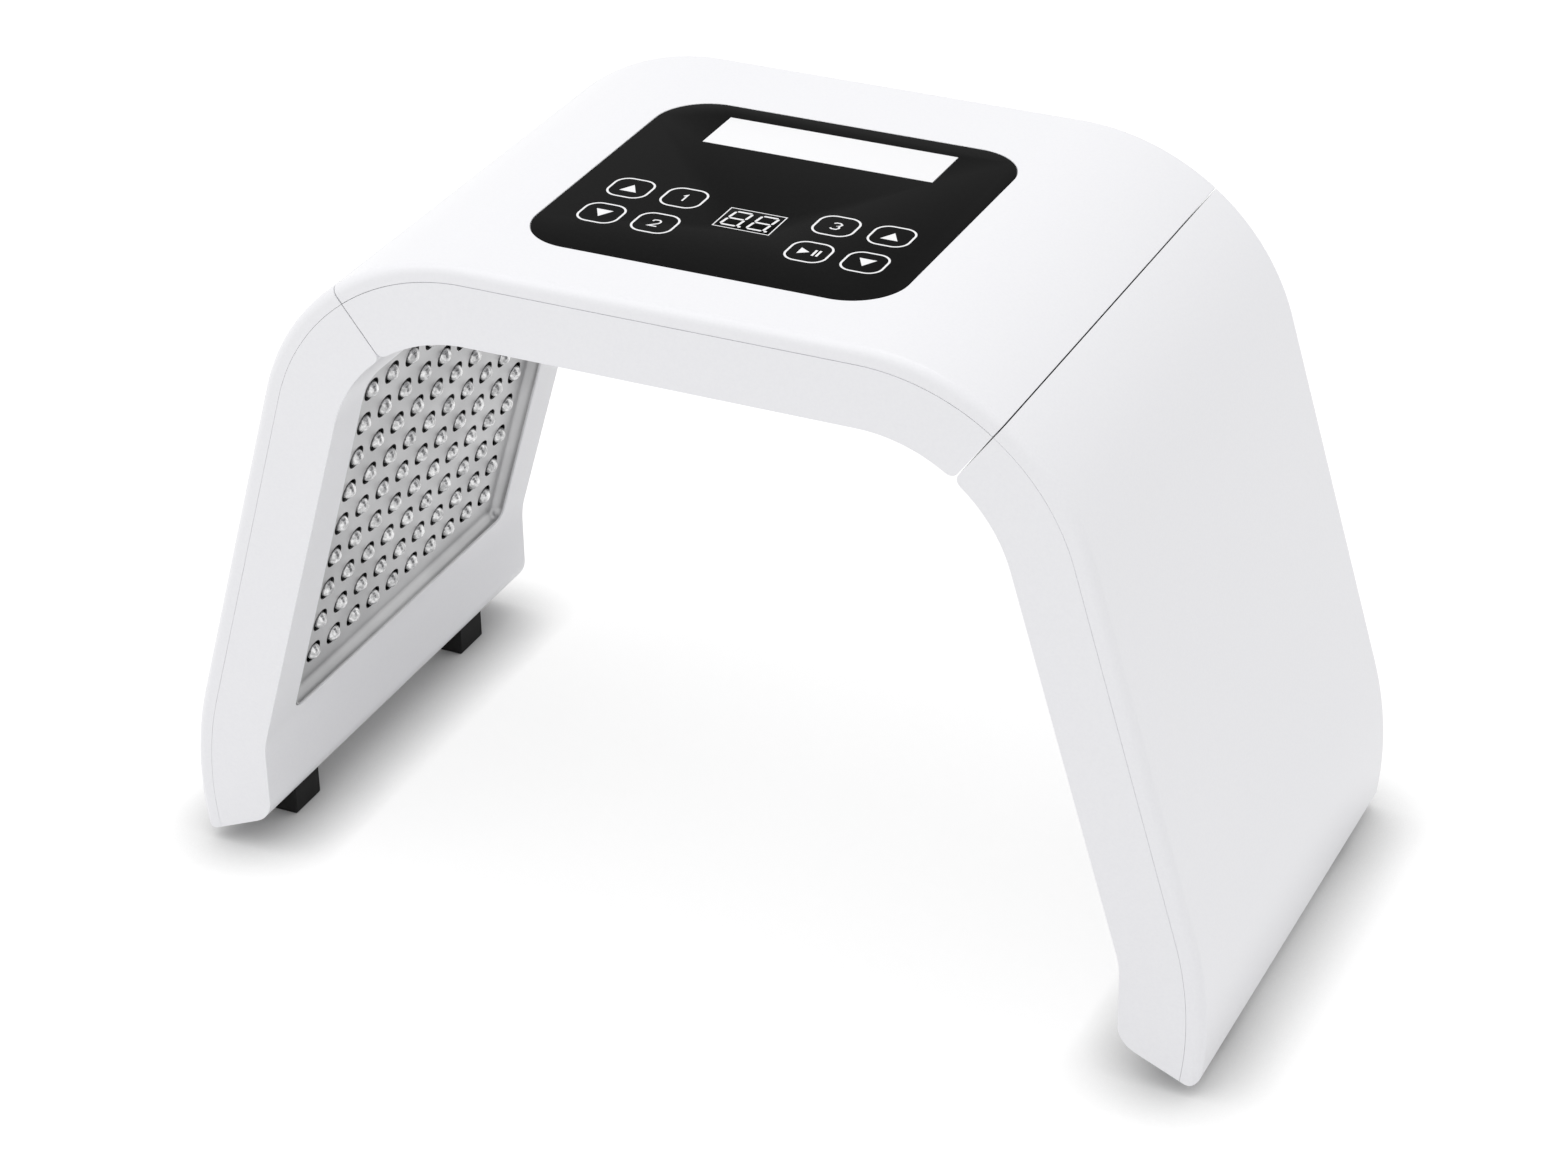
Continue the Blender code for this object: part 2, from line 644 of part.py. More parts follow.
def make_frame(section, finishes):
    """Inner shell: end walls, seam walls and the inner face with its LED window."""
    label = section["name"] + "_frame"
    side = section["side"]
    rim = COVER_RIM + HALF_PARTING
    inner_corner = SEAM_CORNER_RADIUS - WALL
    if side == 0:
        outer, edge = centre_frame_outline(rim, BODY_THICKNESS, HALF_SEAM, SEAM_CORNER_RADIUS)
        void_outer, void_edge = centre_frame_outline(rim - OVERRUN, BODY_THICKNESS - WALL,
                                                     HALF_SEAM + SEAM_WALL, inner_corner)
    else:
        outer, edge = wing_frame_outline(rim, BODY_THICKNESS, HALF_SEAM, 0.0,
                                         SEAM_CORNER_RADIUS, BASE_CORNER_RADIUS)
        void_outer, void_edge = wing_frame_outline(rim - OVERRUN, BODY_THICKNESS - WALL,
                                                   HALF_SEAM + SEAM_WALL, WALL,
                                                   inner_corner, BASE_CORNER_RADIUS - WALL)
        void_outer = void_outer[::-1]
        outer = outer[::-1]
        outer, edge = mirrored(outer, side), mirrored(edge, side)
        void_outer, void_edge = mirrored(void_outer, side), mirrored(void_edge, side)
    parent = section["parent"]
    frame = slab(label, outer + edge, DEPTH, FRONT_VIEW, finish=finishes["white_shell"], parent=parent)
    bevel_run(frame, edge, HALF_DEPTH, INNER_EDGE_RADIUS)
    cavity = slab(label + "_cavity", void_outer + void_edge, DEPTH - 2 * WALL, FRONT_VIEW,
                  parent=parent, cutter=True)
    combine(frame, cavity, "DIFFERENCE")
    combine(frame, make_posts(section), "UNION")
    window = rounded(rectangle(section["window_half"], -WINDOW_HALF_DEPTH, WINDOW_HALF_DEPTH), WINDOW_CORNER)
    combine(frame, slab(label + "_window", window, 2 * (WALL + OVERRUN), panel_place(section),
                        parent=parent, cutter=True), "DIFFERENCE")
    return frame


def make_posts(section):
    """Posts on the frame that carry the LED board, with pilot holes for its screws."""
    posts = []
    holes = []
    half_along = section["window_half"] - POST_INSET
    tip = BOARD_FACE - FIT_GAP
    for along, across in corner_places(half_along, POST_DEPTH):
        posts.append(rod(SMALL_SIDES, POST_RADIUS, (along, across, WALL / 2), (along, across, tip)))
        holes.append(rod(SMALL_SIDES, SCREW_HOLE_RADIUS,
                         (along, across, WALL + FIT_GAP), (along, across, tip + OVERRUN)))
    place = panel_place(section)
    made = solids(section["name"] + "_posts", posts, place, parent=section["parent"], cutter=True)
    combine(made, solids(section["name"] + "_post_holes", holes, place,
                         parent=section["parent"], cutter=True), "DIFFERENCE")
    return made


def make_led_board(section, finishes):
    """LED board with its LEDs, each a short body with a tapered tip."""
    half = section["window_half"] + BOARD_MARGIN_ALONG
    place = panel_place(section)
    middle = BOARD_FACE + BOARD_THICKNESS / 2
    outline = rectangle(half, -BOARD_HALF_DEPTH, BOARD_HALF_DEPTH)
    parent = section["parent"]
    board = slab(section["name"] + "_led_board", outline, BOARD_THICKNESS,
                 place @ Matrix.Translation((0.0, 0.0, middle)), finish=finishes["board"], parent=parent)
    leds = []
    radius = led_hole_radius(section) - LED_CLEARANCE
    for along, across in led_places(section):
        leds.append(rod(LED_SIDES, LED_TIP_SHARE * radius, (along, across, LED_TIP),
                        (along, across, BOARD_FACE + BOARD_THICKNESS / 2), radius))
    combine(board, solids(section["name"] + "_leds", leds, place, parent=parent, cutter=True), "UNION")
    holes = []
    for along, across in corner_places(section["window_half"] - POST_INSET, POST_DEPTH):
        holes.append(rod(SMALL_SIDES, SCREW_HOLE_RADIUS, (along, across, BOARD_FACE - OVERRUN),
                         (along, across, BOARD_FACE + BOARD_THICKNESS + OVERRUN)))
    combine(board, solids(section["name"] + "_board_holes", holes, place, parent=parent, cutter=True),
            "DIFFERENCE")
    return board


def make_reflector(section, finishes):
    """Silver tray with turned-up edges, a hole round each LED, and studs that stand on the board."""
    half = section["window_half"] - TRAY_GAP
    half_across = WINDOW_HALF_DEPTH - TRAY_GAP
    place = panel_place(section)
    parent = section["parent"]
    corner = WINDOW_CORNER - TRAY_GAP
    back = TRAY_FACE + TRAY_SHEET
    outline = rounded(rectangle(half, -half_across, half_across), corner)
    tray = slab(section["name"] + "_reflector", outline, back - TRAY_LIP,
                place @ Matrix.Translation((0.0, 0.0, (back + TRAY_LIP) / 2)),
                finish=finishes["reflector_silver"], parent=parent)
    well = rounded(rectangle(half - TRAY_SHEET, TRAY_SHEET - half_across, half_across - TRAY_SHEET),
                   corner - TRAY_SHEET)
    combine(tray, slab(section["name"] + "_well", well, 2 * TRAY_FACE, place, parent=parent, cutter=True),
            "DIFFERENCE")
    studs = []
    for along, across in corner_places(half - STUD_INSET, half_across - STUD_INSET):
        studs.append(rod(SMALL_SIDES, STUD_RADIUS, (along, across, back - TRAY_SHEET / 2),
                         (along, across, BOARD_FACE - FIT_GAP)))
    combine(tray, solids(section["name"] + "_studs", studs, place, parent=parent, cutter=True), "UNION")
    holes = []
    radius = led_hole_radius(section)
    for along, across in led_places(section):
        holes.append(rod(LED_SIDES, radius,
                         (along, across, TRAY_FACE - TRAY_SHEET), (along, across, back + TRAY_SHEET)))
    combine(tray, solids(section["name"] + "_led_holes", holes, place, parent=parent, cutter=True),
            "DIFFERENCE")
    return tray


def make_screw(label, seat, tip, finishes, parent):
    """Screw with a flat round head: the head stands on its seat and the shank ends at the tip."""
    seat = Vector(seat)
    tip = Vector(tip)
    along = (tip - seat).normalized()
    screw = solids(label, [rod(SMALL_SIDES, SCREW_HEAD_RADIUS,
                               seat - along * SCREW_HEAD_HEIGHT, seat)],
                   Matrix.Identity(4), finish=finishes["steel"], parent=parent)
    shank = solids(label + "_shank", [rod(SMALL_SIDES, SCREW_RADIUS,
                                          seat - along * (SCREW_HEAD_HEIGHT / 2), tip)],
                   Matrix.Identity(4), parent=parent, cutter=True)
    combine(screw, shank, "UNION")
    return screw


def make_board_screws(section, finishes):
    """Four screws that hold the LED board on the frame's posts."""
    place = panel_place(section)
    seat = BOARD_FACE + BOARD_THICKNESS + FIT_GAP
    tip = seat - POST_SCREW_LENGTH
    half_along = section["window_half"] - POST_INSET
    for number, (along, across) in enumerate(corner_places(half_along, POST_DEPTH), 1):
        make_screw(f"{section['name']}_board_screw_{number}", place @ Vector((along, across, seat)),
                   place @ Vector((along, across, tip)), finishes, section["parent"])


def knuckle_spans(own_first):
    """Start and end of each knuckle that belongs to one leaf."""
    pitch = HINGE_LENGTH / KNUCKLE_COUNT
    half = HINGE_LENGTH / 2
    spans = []
    for number in range(KNUCKLE_COUNT):
        if (number % 2 == 0) == own_first:
            start = number * pitch - half
            spans.append((start + KNUCKLE_GAP / 2, start + pitch - KNUCKLE_GAP / 2))
    return spans


LEAF_TURN = Matrix(((0, 0, 1, 0), (1, 0, 0, 0), (0, 1, 0, 0), (0, 0, 0, 1)))


def leaf_screw_places():
    """Places of a leaf's screws along the hinge."""
    return [-LEAF_SCREW_SPREAD, LEAF_SCREW_SPREAD]


def make_leaf(label, side, towards, own_first, finishes, parent):
    """One hinge leaf with its knuckles, its pin bore and its screw holes."""
    place = hinge_place(side)
    middle = towards * (HALF_SEAM + LEAF_THICKNESS / 2)
    root = KNUCKLE_RADIUS + KNUCKLE_GAP
    leaf = slab(label, rectangle(HINGE_LENGTH / 2, root, LEAF_WIDTH), LEAF_THICKNESS,
                place @ Matrix.Translation((middle, 0.0, 0.0)) @ LEAF_TURN,
                finish=finishes["steel"], parent=parent)
    rounds = []
    tongues = []
    for start, end in knuckle_spans(own_first):
        rounds.append(rod(KNUCKLE_SIDES, KNUCKLE_RADIUS, (0.0, start, 0.0), (0.0, end, 0.0)))
        tongues.append(box((middle - TONGUE_THICKNESS / 2, start + KNUCKLE_GAP, KNUCKLE_GAP),
                           (middle + TONGUE_THICKNESS / 2, end - KNUCKLE_GAP, root + KNUCKLE_GAP)))
    knuckles = solids(label + "_knuckles", rounds, place, parent=parent, cutter=True)
    combine(knuckles, solids(label + "_tongues", tongues, place, parent=parent, cutter=True), "UNION")
    combine(leaf, knuckles, "UNION")
    half = HINGE_LENGTH / 2 + OVERRUN
    cuts = [rod(KNUCKLE_SIDES, PIN_BORE_RADIUS, (0.0, -half, 0.0), (0.0, half, 0.0))]
    for along in leaf_screw_places():
        cuts.append(rod(SMALL_SIDES, SCREW_HOLE_RADIUS,
                        (-OVERRUN, along, LEAF_SCREW_HEIGHT), (OVERRUN, along, LEAF_SCREW_HEIGHT)))
    combine(leaf, solids(label + "_cuts", cuts, place, parent=parent, cutter=True), "DIFFERENCE")
    return leaf


def seat_leaf(frame, side, towards, parent):
    """Cut a frame's seam wall for the leaf, the knuckles and the leaf's screws."""
    place = hinge_place(side)
    half = HINGE_LENGTH / 2 + NOTCH_GAP
    reach = KNUCKLE_RADIUS + NOTCH_GAP
    top = direction(0.0) * reach
    notch = [Vector((-reach, -HINGE_DEPTH - OVERRUN)), Vector((reach, -HINGE_DEPTH - OVERRUN))]
    notch += arc(Vector((0.0, 0.0)), top.length, 90.0, -90.0, ROUND_SIDES // 2)
    combine(frame, slab(frame.name + f"_knuckle_notch_{side}", notch, 2 * half,
                        place @ FRONT_VIEW, parent=parent, cutter=True), "DIFFERENCE")
    depth = HALF_SEAM + LEAF_POCKET
    ends = sorted((-towards * OVERRUN, towards * depth))
    pieces = [box((ends[0], -half, 0.0), (ends[1], half, LEAF_WIDTH + NOTCH_GAP))]
    combine(frame, solids(frame.name + f"_leaf_pocket_{side}", pieces, place, parent=parent, cutter=True),
            "DIFFERENCE")
    holes = []
    for along in leaf_screw_places():
        ends = sorted((0.0, towards * (HALF_SEAM + SEAM_WALL + OVERRUN)))
        holes.append(rod(SMALL_SIDES, SCREW_HOLE_RADIUS,
                         (ends[0], along, LEAF_SCREW_HEIGHT), (ends[1], along, LEAF_SCREW_HEIGHT)))
    combine(frame, solids(frame.name + f"_leaf_screw_holes_{side}", holes, place, parent=parent, cutter=True),
            "DIFFERENCE")


def make_hinge(side, word, centre_frame, wing_frame, wing_axis, finishes):
    """Long hinge in one seam: two leaves, a pin and the leaves' screws."""
    leaves = (("centre", -side, True, centre_frame, None), ("wing", side, False, wing_frame, wing_axis))
    for owner, towards, own_first, frame, parent in leaves:
        make_leaf(f"{word}_hinge_{owner}_leaf", side, towards, own_first, finishes, parent)
        seat_leaf(frame, side, towards, parent)
        place = hinge_place(side)
        for number, along in enumerate(leaf_screw_places(), 1):
            seat = place @ Vector((towards * (HALF_SEAM + SEAM_WALL + FIT_GAP), along, LEAF_SCREW_HEIGHT))
            tip = place @ Vector((towards * HALF_SEAM, along, LEAF_SCREW_HEIGHT))
            make_screw(f"{word}_hinge_{owner}_screw_{number}", seat, tip, finishes, parent)
    half = HINGE_LENGTH / 2 + PIN_OVERHANG
    pin = rod(KNUCKLE_SIDES, PIN_RADIUS, (0.0, -half, 0.0), (0.0, half, 0.0))
    solids(f"{word}_hinge_pin", [pin], hinge_place(side), finish=finishes["steel"])


def base_height(x):
    """Height of the wing's sloping underside at a distance from the middle."""
    return BASE_CORNER.y - (x - BASE_CORNER.x) * math.tan(math.radians(BASE_SLOPE_DEG))


def make_feet(side, word, frame, parent, finishes):
    """Two rubber feet under a wing, each held by a screw from below."""
    near = BASE_CORNER.x + FOOT_OFFSET
    far = near + FOOT_WIDTH
    middle = near + FOOT_WIDTH / 2
    corners = [Vector((near, 0.0)), Vector((far, 0.0)), Vector((far, base_height(far) - FIT_GAP)),
               Vector((near, base_height(near) - FIT_GAP))]
    outline = mirrored(rounded(corners, FOOT_EDGE), side)
    holes = []
    for end, name in ((-1, "front"), (1, "rear")):
        y = end * (HALF_DEPTH - FOOT_INSET - FOOT_LENGTH / 2)
        label = f"{word}_{name}_foot"
        foot = slab(label, outline, FOOT_LENGTH, Matrix.Translation((0.0, y, 0.0)) @ FRONT_VIEW,
                    finish=finishes["rubber_black"], parent=parent)
        place = Matrix.Translation((middle * side, y, 0.0))
        cuts = [rod(SMALL_SIDES, SCREW_HEAD_RADIUS + FIT_GAP,
                    (0.0, 0.0, -OVERRUN), (0.0, 0.0, FOOT_SCREW_RECESS))]
        combine(foot, solids(label + "_recess", cuts, place, parent=parent, cutter=True), "DIFFERENCE")
        bore = rod(SMALL_SIDES, SCREW_HOLE_RADIUS,
                   (0.0, 0.0, FOOT_SCREW_RECESS / 2), (0.0, 0.0, FOOT_SCREW_LENGTH + OVERRUN))
        combine(foot, solids(label + "_bore", [bore], place, parent=parent, cutter=True), "DIFFERENCE")
        seat = Vector((middle * side, y, FOOT_SCREW_RECESS - FIT_GAP))
        tip = seat + Vector((0.0, 0.0, FOOT_SCREW_LENGTH - FOOT_SCREW_RECESS))
        make_screw(f"{label}_screw", seat, tip, finishes, parent)
        holes.append(rod(SMALL_SIDES, SCREW_HOLE_RADIUS, (middle * side, y, 0.0),
                         (middle * side, y, FOOT_SCREW_LENGTH + OVERRUN)))
    combine(frame, solids(frame.name + "_foot_screw_holes", holes, Matrix.Identity(4),
                          parent=parent, cutter=True), "DIFFERENCE")


def flat_place(top, thickness):
    """Place of a slab whose top face lies at a height."""
    return Matrix.Translation((0.0, 0.0, top - thickness / 2))


def cover_cut(cover, label, outline, low, high):
    """Cut an upright opening through part of the cover."""
    combine(cover, slab(label, outline, high - low, flat_place(high, high - low), cutter=True), "DIFFERENCE")


def make_controls(cover, finishes):
    """Flush black touch panel, blank label, display, touch film and control board."""
    outline = rounded(rectangle(PANEL_HALF_WIDTH, PANEL_FRONT, PANEL_BACK), PANEL_CORNER)
    panel = slab("control_panel", outline, PANEL_THICKNESS, flat_place(HEIGHT, PANEL_THICKNESS),
                 finish=finishes["panel_black"])
    recess = rounded(rectangle(PANEL_HALF_WIDTH + FIT_GAP, PANEL_FRONT - FIT_GAP, PANEL_BACK + FIT_GAP),
                     PANEL_CORNER + FIT_GAP)
    ledge = HEIGHT - PANEL_THICKNESS - FIT_GAP
    cover_cut(cover, "panel_recess", recess, ledge, HEIGHT + OVERRUN)
    opening = rectangle(KEY_AREA_HALF, KEY_AREA_FRONT, KEY_AREA_BACK)
    cover_cut(cover, "key_opening", opening, HEIGHT - WALL - OVERRUN, HEIGHT)

    label_pocket = rectangle(LABEL_HALF_WIDTH, LABEL_FRONT, LABEL_BACK)
    pocket_floor = HEIGHT - LABEL_THICKNESS - FIT_GAP
    combine(panel, slab("label_pocket", label_pocket, OVERRUN, flat_place(pocket_floor + OVERRUN, OVERRUN),
                        cutter=True), "DIFFERENCE")
    label_outline = rectangle(LABEL_HALF_WIDTH - FIT_GAP, LABEL_FRONT + FIT_GAP, LABEL_BACK - FIT_GAP)
    slab("blank_label", label_outline, LABEL_THICKNESS, flat_place(HEIGHT, LABEL_THICKNESS),
         finish=finishes["label_white"])

    window = rectangle(DISPLAY_HALF_WIDTH, DISPLAY_FRONT, DISPLAY_BACK)
    combine(panel, slab("display_window", window, OVERRUN, flat_place(HEIGHT + OVERRUN / 2, OVERRUN),
                        cutter=True), "DIFFERENCE")
    board_top = HEIGHT - CONTROL_BOARD_DROP
    module = rectangle(DISPLAY_HALF_WIDTH - FIT_GAP, DISPLAY_FRONT + FIT_GAP, DISPLAY_BACK - FIT_GAP)
    module_height = CONTROL_BOARD_DROP - 2 * FIT_GAP
    slab("display_module", module, module_height, flat_place(HEIGHT - FIT_GAP, module_height),
         finish=finishes["display_dark"])

    film = rectangle(KEY_AREA_HALF - FIT_GAP, KEY_AREA_FRONT + FIT_GAP, KEY_AREA_BACK - FIT_GAP)
    touch_film = slab("touch_film", film, FILM_THICKNESS, flat_place(ledge, FILM_THICKNESS),
                      finish=finishes["film_clear"])
    combine(touch_film, slab("film_window", window, OVERRUN, flat_place(ledge + OVERRUN / 2, OVERRUN),
                             cutter=True), "DIFFERENCE")

    front = KEY_AREA_FRONT - CONTROL_BOARD_MARGIN
    back = KEY_AREA_BACK + CONTROL_BOARD_MARGIN
    slab("control_board", rectangle(CONTROL_BOARD_HALF, front, back), BOARD_THICKNESS,
         flat_place(board_top, BOARD_THICKNESS), finish=finishes["control_board_green"])
    posts = []
    for x in (-CONTROL_POST_X, CONTROL_POST_X):
        for y in (front + CONTROL_POST_MARGIN, back - CONTROL_POST_MARGIN):
            posts.append(rod(SMALL_SIDES, POST_RADIUS, (x, y, board_top + FIT_GAP),
                             (x, y, HEIGHT - WALL + FIT_GAP)))
    combine(cover, solids("control_posts", posts, Matrix.Identity(4), cutter=True), "UNION")


def make_power_board(cover, finishes):
    """Power board with its transformer, capacitor and plug socket, hung from posts on the cover."""
    low = INNER_FLOOR + POWER_BOARD_RISE
    top = low + BOARD_THICKNESS
    place = Matrix.Translation((POWER_BOARD_X, POWER_BOARD_Y, 0.0))
    outline = rectangle(POWER_BOARD_WIDTH / 2, -POWER_BOARD_DEPTH / 2, POWER_BOARD_DEPTH / 2)
    board = slab("power_board", outline, BOARD_THICKNESS, place @ flat_place(top, BOARD_THICKNESS),
                 finish=finishes["control_board_green"])
    seat = top - BOARD_THICKNESS / 2
    half = TRANSFORMER_SIZE / 2
    parts = [box((TRANSFORMER_X - half, -half, seat), (TRANSFORMER_X + half, half, top + TRANSFORMER_HEIGHT)),
             rod(SMALL_SIDES, CAPACITOR_RADIUS, (CAPACITOR_X, 0.0, seat),
                 (CAPACITOR_X, 0.0, top + TRANSFORMER_HEIGHT)),
             box((SOCKET_X - SOCKET_DEPTH / 2, -SOCKET_WIDTH / 2, seat),
                 (SOCKET_X + SOCKET_DEPTH / 2, SOCKET_WIDTH / 2, top + SOCKET_HEIGHT))]
    combine(board, solids("power_board_parts", parts, place, cutter=True), "UNION")
    posts = []
    ledge = HEIGHT - WALL
    half_width = POWER_BOARD_WIDTH / 2 - POWER_POST_INSET
    half_depth = POWER_BOARD_DEPTH / 2 - POWER_POST_INSET
    for x, y in corner_places(half_width, half_depth):
        posts.append(rod(SMALL_SIDES, POST_RADIUS, (x, y, top + FIT_GAP), (x, y, ledge + FIT_GAP)))
    combine(cover, solids("power_posts", posts, place, cutter=True), "UNION")


def make_bay(frame):
    """Recessed bay in the rear wall, with openings for the inlet and the switch."""
    middle = INNER_FLOOR + BAY_RISE
    back = HALF_DEPTH - BAY_DEPTH
    half_width = BAY_WIDTH / 2 + BAY_WALL
    half_height = BAY_HEIGHT / 2 + BAY_WALL
    shell = [box((BAY_X - half_width, back - BAY_WALL, middle - half_height),
                 (BAY_X + half_width, HALF_DEPTH - WALL / 2, middle + half_height))]
    combine(frame, solids("bay_shell", shell, Matrix.Identity(4), cutter=True), "UNION")
    outline = rounded(rectangle(BAY_WIDTH / 2, -BAY_HEIGHT / 2, BAY_HEIGHT / 2), BAY_CORNER)
    depth = BAY_DEPTH + OVERRUN
    place = Matrix.Translation((BAY_X, back + depth / 2, middle)) @ FRONT_VIEW
    combine(frame, slab("bay_hollow", outline, depth, place, cutter=True), "DIFFERENCE")
    hole = INLET_RADIUS + FIT_GAP
    half_w = SWITCH_BODY_WIDTH / 2 + FIT_GAP
    half_h = SWITCH_BODY_HEIGHT / 2 + FIT_GAP
    cuts = [rod(INLET_SIDES, hole, (INLET_X, back - BAY_WALL - OVERRUN, middle),
                (INLET_X, back + OVERRUN, middle)),
            box((SWITCH_X - half_w, back - BAY_WALL - OVERRUN, middle - half_h),
                (SWITCH_X + half_w, back + OVERRUN, middle + half_h))]
    combine(frame, solids("bay_openings", cuts, Matrix.Identity(4), cutter=True), "DIFFERENCE")


def make_inlet(finishes):
    """Round low-voltage inlet: flange, threaded barrel, bore and centre pin in one turned body."""
    middle = INNER_FLOOR + BAY_RISE
    face = INLET_FLANGE_THICKNESS
    floor = face - INLET_BORE_DEPTH
    profile = [(0.0, floor + INLET_PIN_LENGTH), (INLET_PIN_RADIUS, floor + INLET_PIN_LENGTH),
               (INLET_PIN_RADIUS, floor), (INLET_BORE_RADIUS, floor), (INLET_BORE_RADIUS, face),
               (INLET_FLANGE_RADIUS, face), (INLET_FLANGE_RADIUS, 0.0), (INLET_RADIUS, 0.0),
               (INLET_RADIUS, -INLET_LENGTH), (0.0, -INLET_LENGTH)]
    mesh = bpy.data.meshes.new("power_inlet")
    bm = bmesh.new()
    verts = [bm.verts.new((radius, 0.0, height)) for radius, height in profile]
    for first, second in zip(verts, verts[1:]):
        bm.edges.new((first, second))
    bm.to_mesh(mesh)
    bm.free()
    inlet = keep(bpy.data.objects.new("power_inlet", mesh), finish=finishes["fitting_black"])
    inlet.matrix_world = Matrix.Translation((INLET_X, HALF_DEPTH - BAY_DEPTH + FIT_GAP, middle)) \
        @ Matrix.Rotation(math.radians(-90.0), 4, "X")
    turned = inlet.modifiers.new("turned", "SCREW")
    turned.angle = math.radians(360.0)
    turned.steps = INLET_SIDES
    turned.render_steps = INLET_SIDES
    turned.use_merge_vertices = True
    turned.merge_threshold = MERGE_DISTANCE


def make_switch(finishes):
    """Rocker switch: a housing with a bezel, and a rocker on two trunnions, tilted to off."""
    middle = INNER_FLOOR + BAY_RISE
    back = HALF_DEPTH - BAY_DEPTH + FIT_GAP
    face = back + SWITCH_BEZEL_THICKNESS
    place = Matrix.Translation((SWITCH_X, 0.0, middle))
    bezel = solids("power_switch_housing",
                   [box((-SWITCH_BEZEL_WIDTH / 2, back, -SWITCH_BEZEL_HEIGHT / 2),
                        (SWITCH_BEZEL_WIDTH / 2, face, SWITCH_BEZEL_HEIGHT / 2))],
                   place, finish=finishes["fitting_black"])
    body = [box((-SWITCH_BODY_WIDTH / 2, back - SWITCH_BODY_DEPTH, -SWITCH_BODY_HEIGHT / 2),
                (SWITCH_BODY_WIDTH / 2, back + SWITCH_BEZEL_THICKNESS / 2, SWITCH_BODY_HEIGHT / 2))]
    combine(bezel, solids("switch_body", body, place, cutter=True), "UNION")
    hollow = [box((-ROCKER_CAVITY_WIDTH / 2, face - ROCKER_CAVITY_DEPTH, -ROCKER_CAVITY_HEIGHT / 2),
                  (ROCKER_CAVITY_WIDTH / 2, face + OVERRUN, ROCKER_CAVITY_HEIGHT / 2))]
    combine(bezel, solids("switch_hollow", hollow, place, cutter=True), "DIFFERENCE")
    pivot = face - ROCKER_PIVOT_DROP
    reach = ROCKER_HALF_HEIGHT + TRUNNION_REACH
    bore = TRUNNION_RADIUS + FIT_GAP
    bores = [rod(SMALL_SIDES, bore, (0.0, pivot, -reach - FIT_GAP), (0.0, pivot, reach + FIT_GAP))]
    combine(bezel, solids("switch_bores", bores, place, cutter=True), "DIFFERENCE")

    top = ROCKER_PIVOT_DROP
    outline = [Vector((-ROCKER_HALF_LENGTH, top + ROCKER_END_RISE)),
               Vector((-ROCKER_HALF_LENGTH, top - ROCKER_BASE_DROP)),
               Vector((ROCKER_HALF_LENGTH, top - ROCKER_BASE_DROP)),
               Vector((ROCKER_HALF_LENGTH, top + ROCKER_END_RISE)), Vector((0.0, top))]
    tilt = Matrix.Rotation(math.radians(-ROCKER_TILT_DEG), 4, "Z")
    seat = Matrix.Translation((SWITCH_X, pivot, middle)) @ tilt
    rocker = slab("power_switch_rocker", outline, 2 * ROCKER_HALF_HEIGHT, seat,
                  finish=finishes["fitting_black"])
    trunnions = [rod(SMALL_SIDES, TRUNNION_RADIUS, (0.0, 0.0, -reach), (0.0, 0.0, reach))]
    combine(rocker, solids("rocker_trunnions", trunnions, seat, cutter=True), "UNION")


def make_axis(label, side):
    """Empty on a wing's hinge axis, which carries everything that folds with the wing."""
    axis = bpy.data.objects.new(label, None)
    axis.empty_display_size = KNUCKLE_RADIUS
    bpy.data.collections["light_therapy_arch"].objects.link(axis)
    axis.location = (HINGE_POINT.x * side, 0.0, HINGE_POINT.y)
    bpy.context.view_layer.update()
    return axis


def wing_section(side, word):
    """What differs between sections, for a wing."""
    length = WING_WINDOW_BOTTOM - WING_WINDOW_TOP
    axis = make_axis(f"{word}_wing_axis", side)
    return {"name": f"{word}_wing", "side": side, "facing": side, "parent": axis,
            "rows": LED_ROWS_WING, "row_shift": LED_ROW_SHIFT, "led_margin": LED_MARGIN_WING,
            "window_middle": WING_WINDOW_TOP + length / 2, "window_half": length / 2,
            "tab_spread": length / 3}


def centre_section():
    """What differs between sections, for the centre."""
    return {"name": "centre", "side": 0, "facing": 1, "parent": None,
            "rows": LED_ROWS_CENTRE, "row_shift": 0.0, "led_margin": LED_MARGIN_CENTRE,
            "window_middle": 0.0, "window_half": CENTRE_WINDOW_HALF, "tab_spread": CENTRE_WINDOW_HALF * 2 / 3}


def make_section(section, finishes):
    """The shells, LED board, reflector and board screws that every section has."""
    cover = make_cover(section, finishes)
    frame = make_frame(section, finishes)
    make_led_board(section, finishes)
    make_reflector(section, finishes)
    make_board_screws(section, finishes)
    return cover, frame


def main():
    reset_scene()
    finishes = make_materials()
    centre_cover, centre_frame = make_section(centre_section(), finishes)
    make_controls(centre_cover, finishes)
    make_power_board(centre_cover, finishes)
    make_bay(centre_frame)
    make_inlet(finishes)
    make_switch(finishes)
    for side, word in ((-1, "left"), (1, "right")):
        section = wing_section(side, word)
        _, wing_frame = make_section(section, finishes)
        make_hinge(side, word, centre_frame, wing_frame, section["parent"], finishes)
        make_feet(side, word, wing_frame, section["parent"], finishes)
    bpy.context.view_layer.update()
    for obj in bpy.data.collections["light_therapy_arch"].objects:
        if obj.type == "MESH":
            shade(obj.data)


main()
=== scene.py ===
"""Dressed scene of the folding LED light therapy arch: finer shells, trays, LEDs, panel and feet.

Metres, +Z up, in the frame of the solids: origin on the floor under the arch, front towards -Y.
"""

import math
from types import SimpleNamespace as Section

import bmesh
import bpy
from mathutils import Matrix, Vector


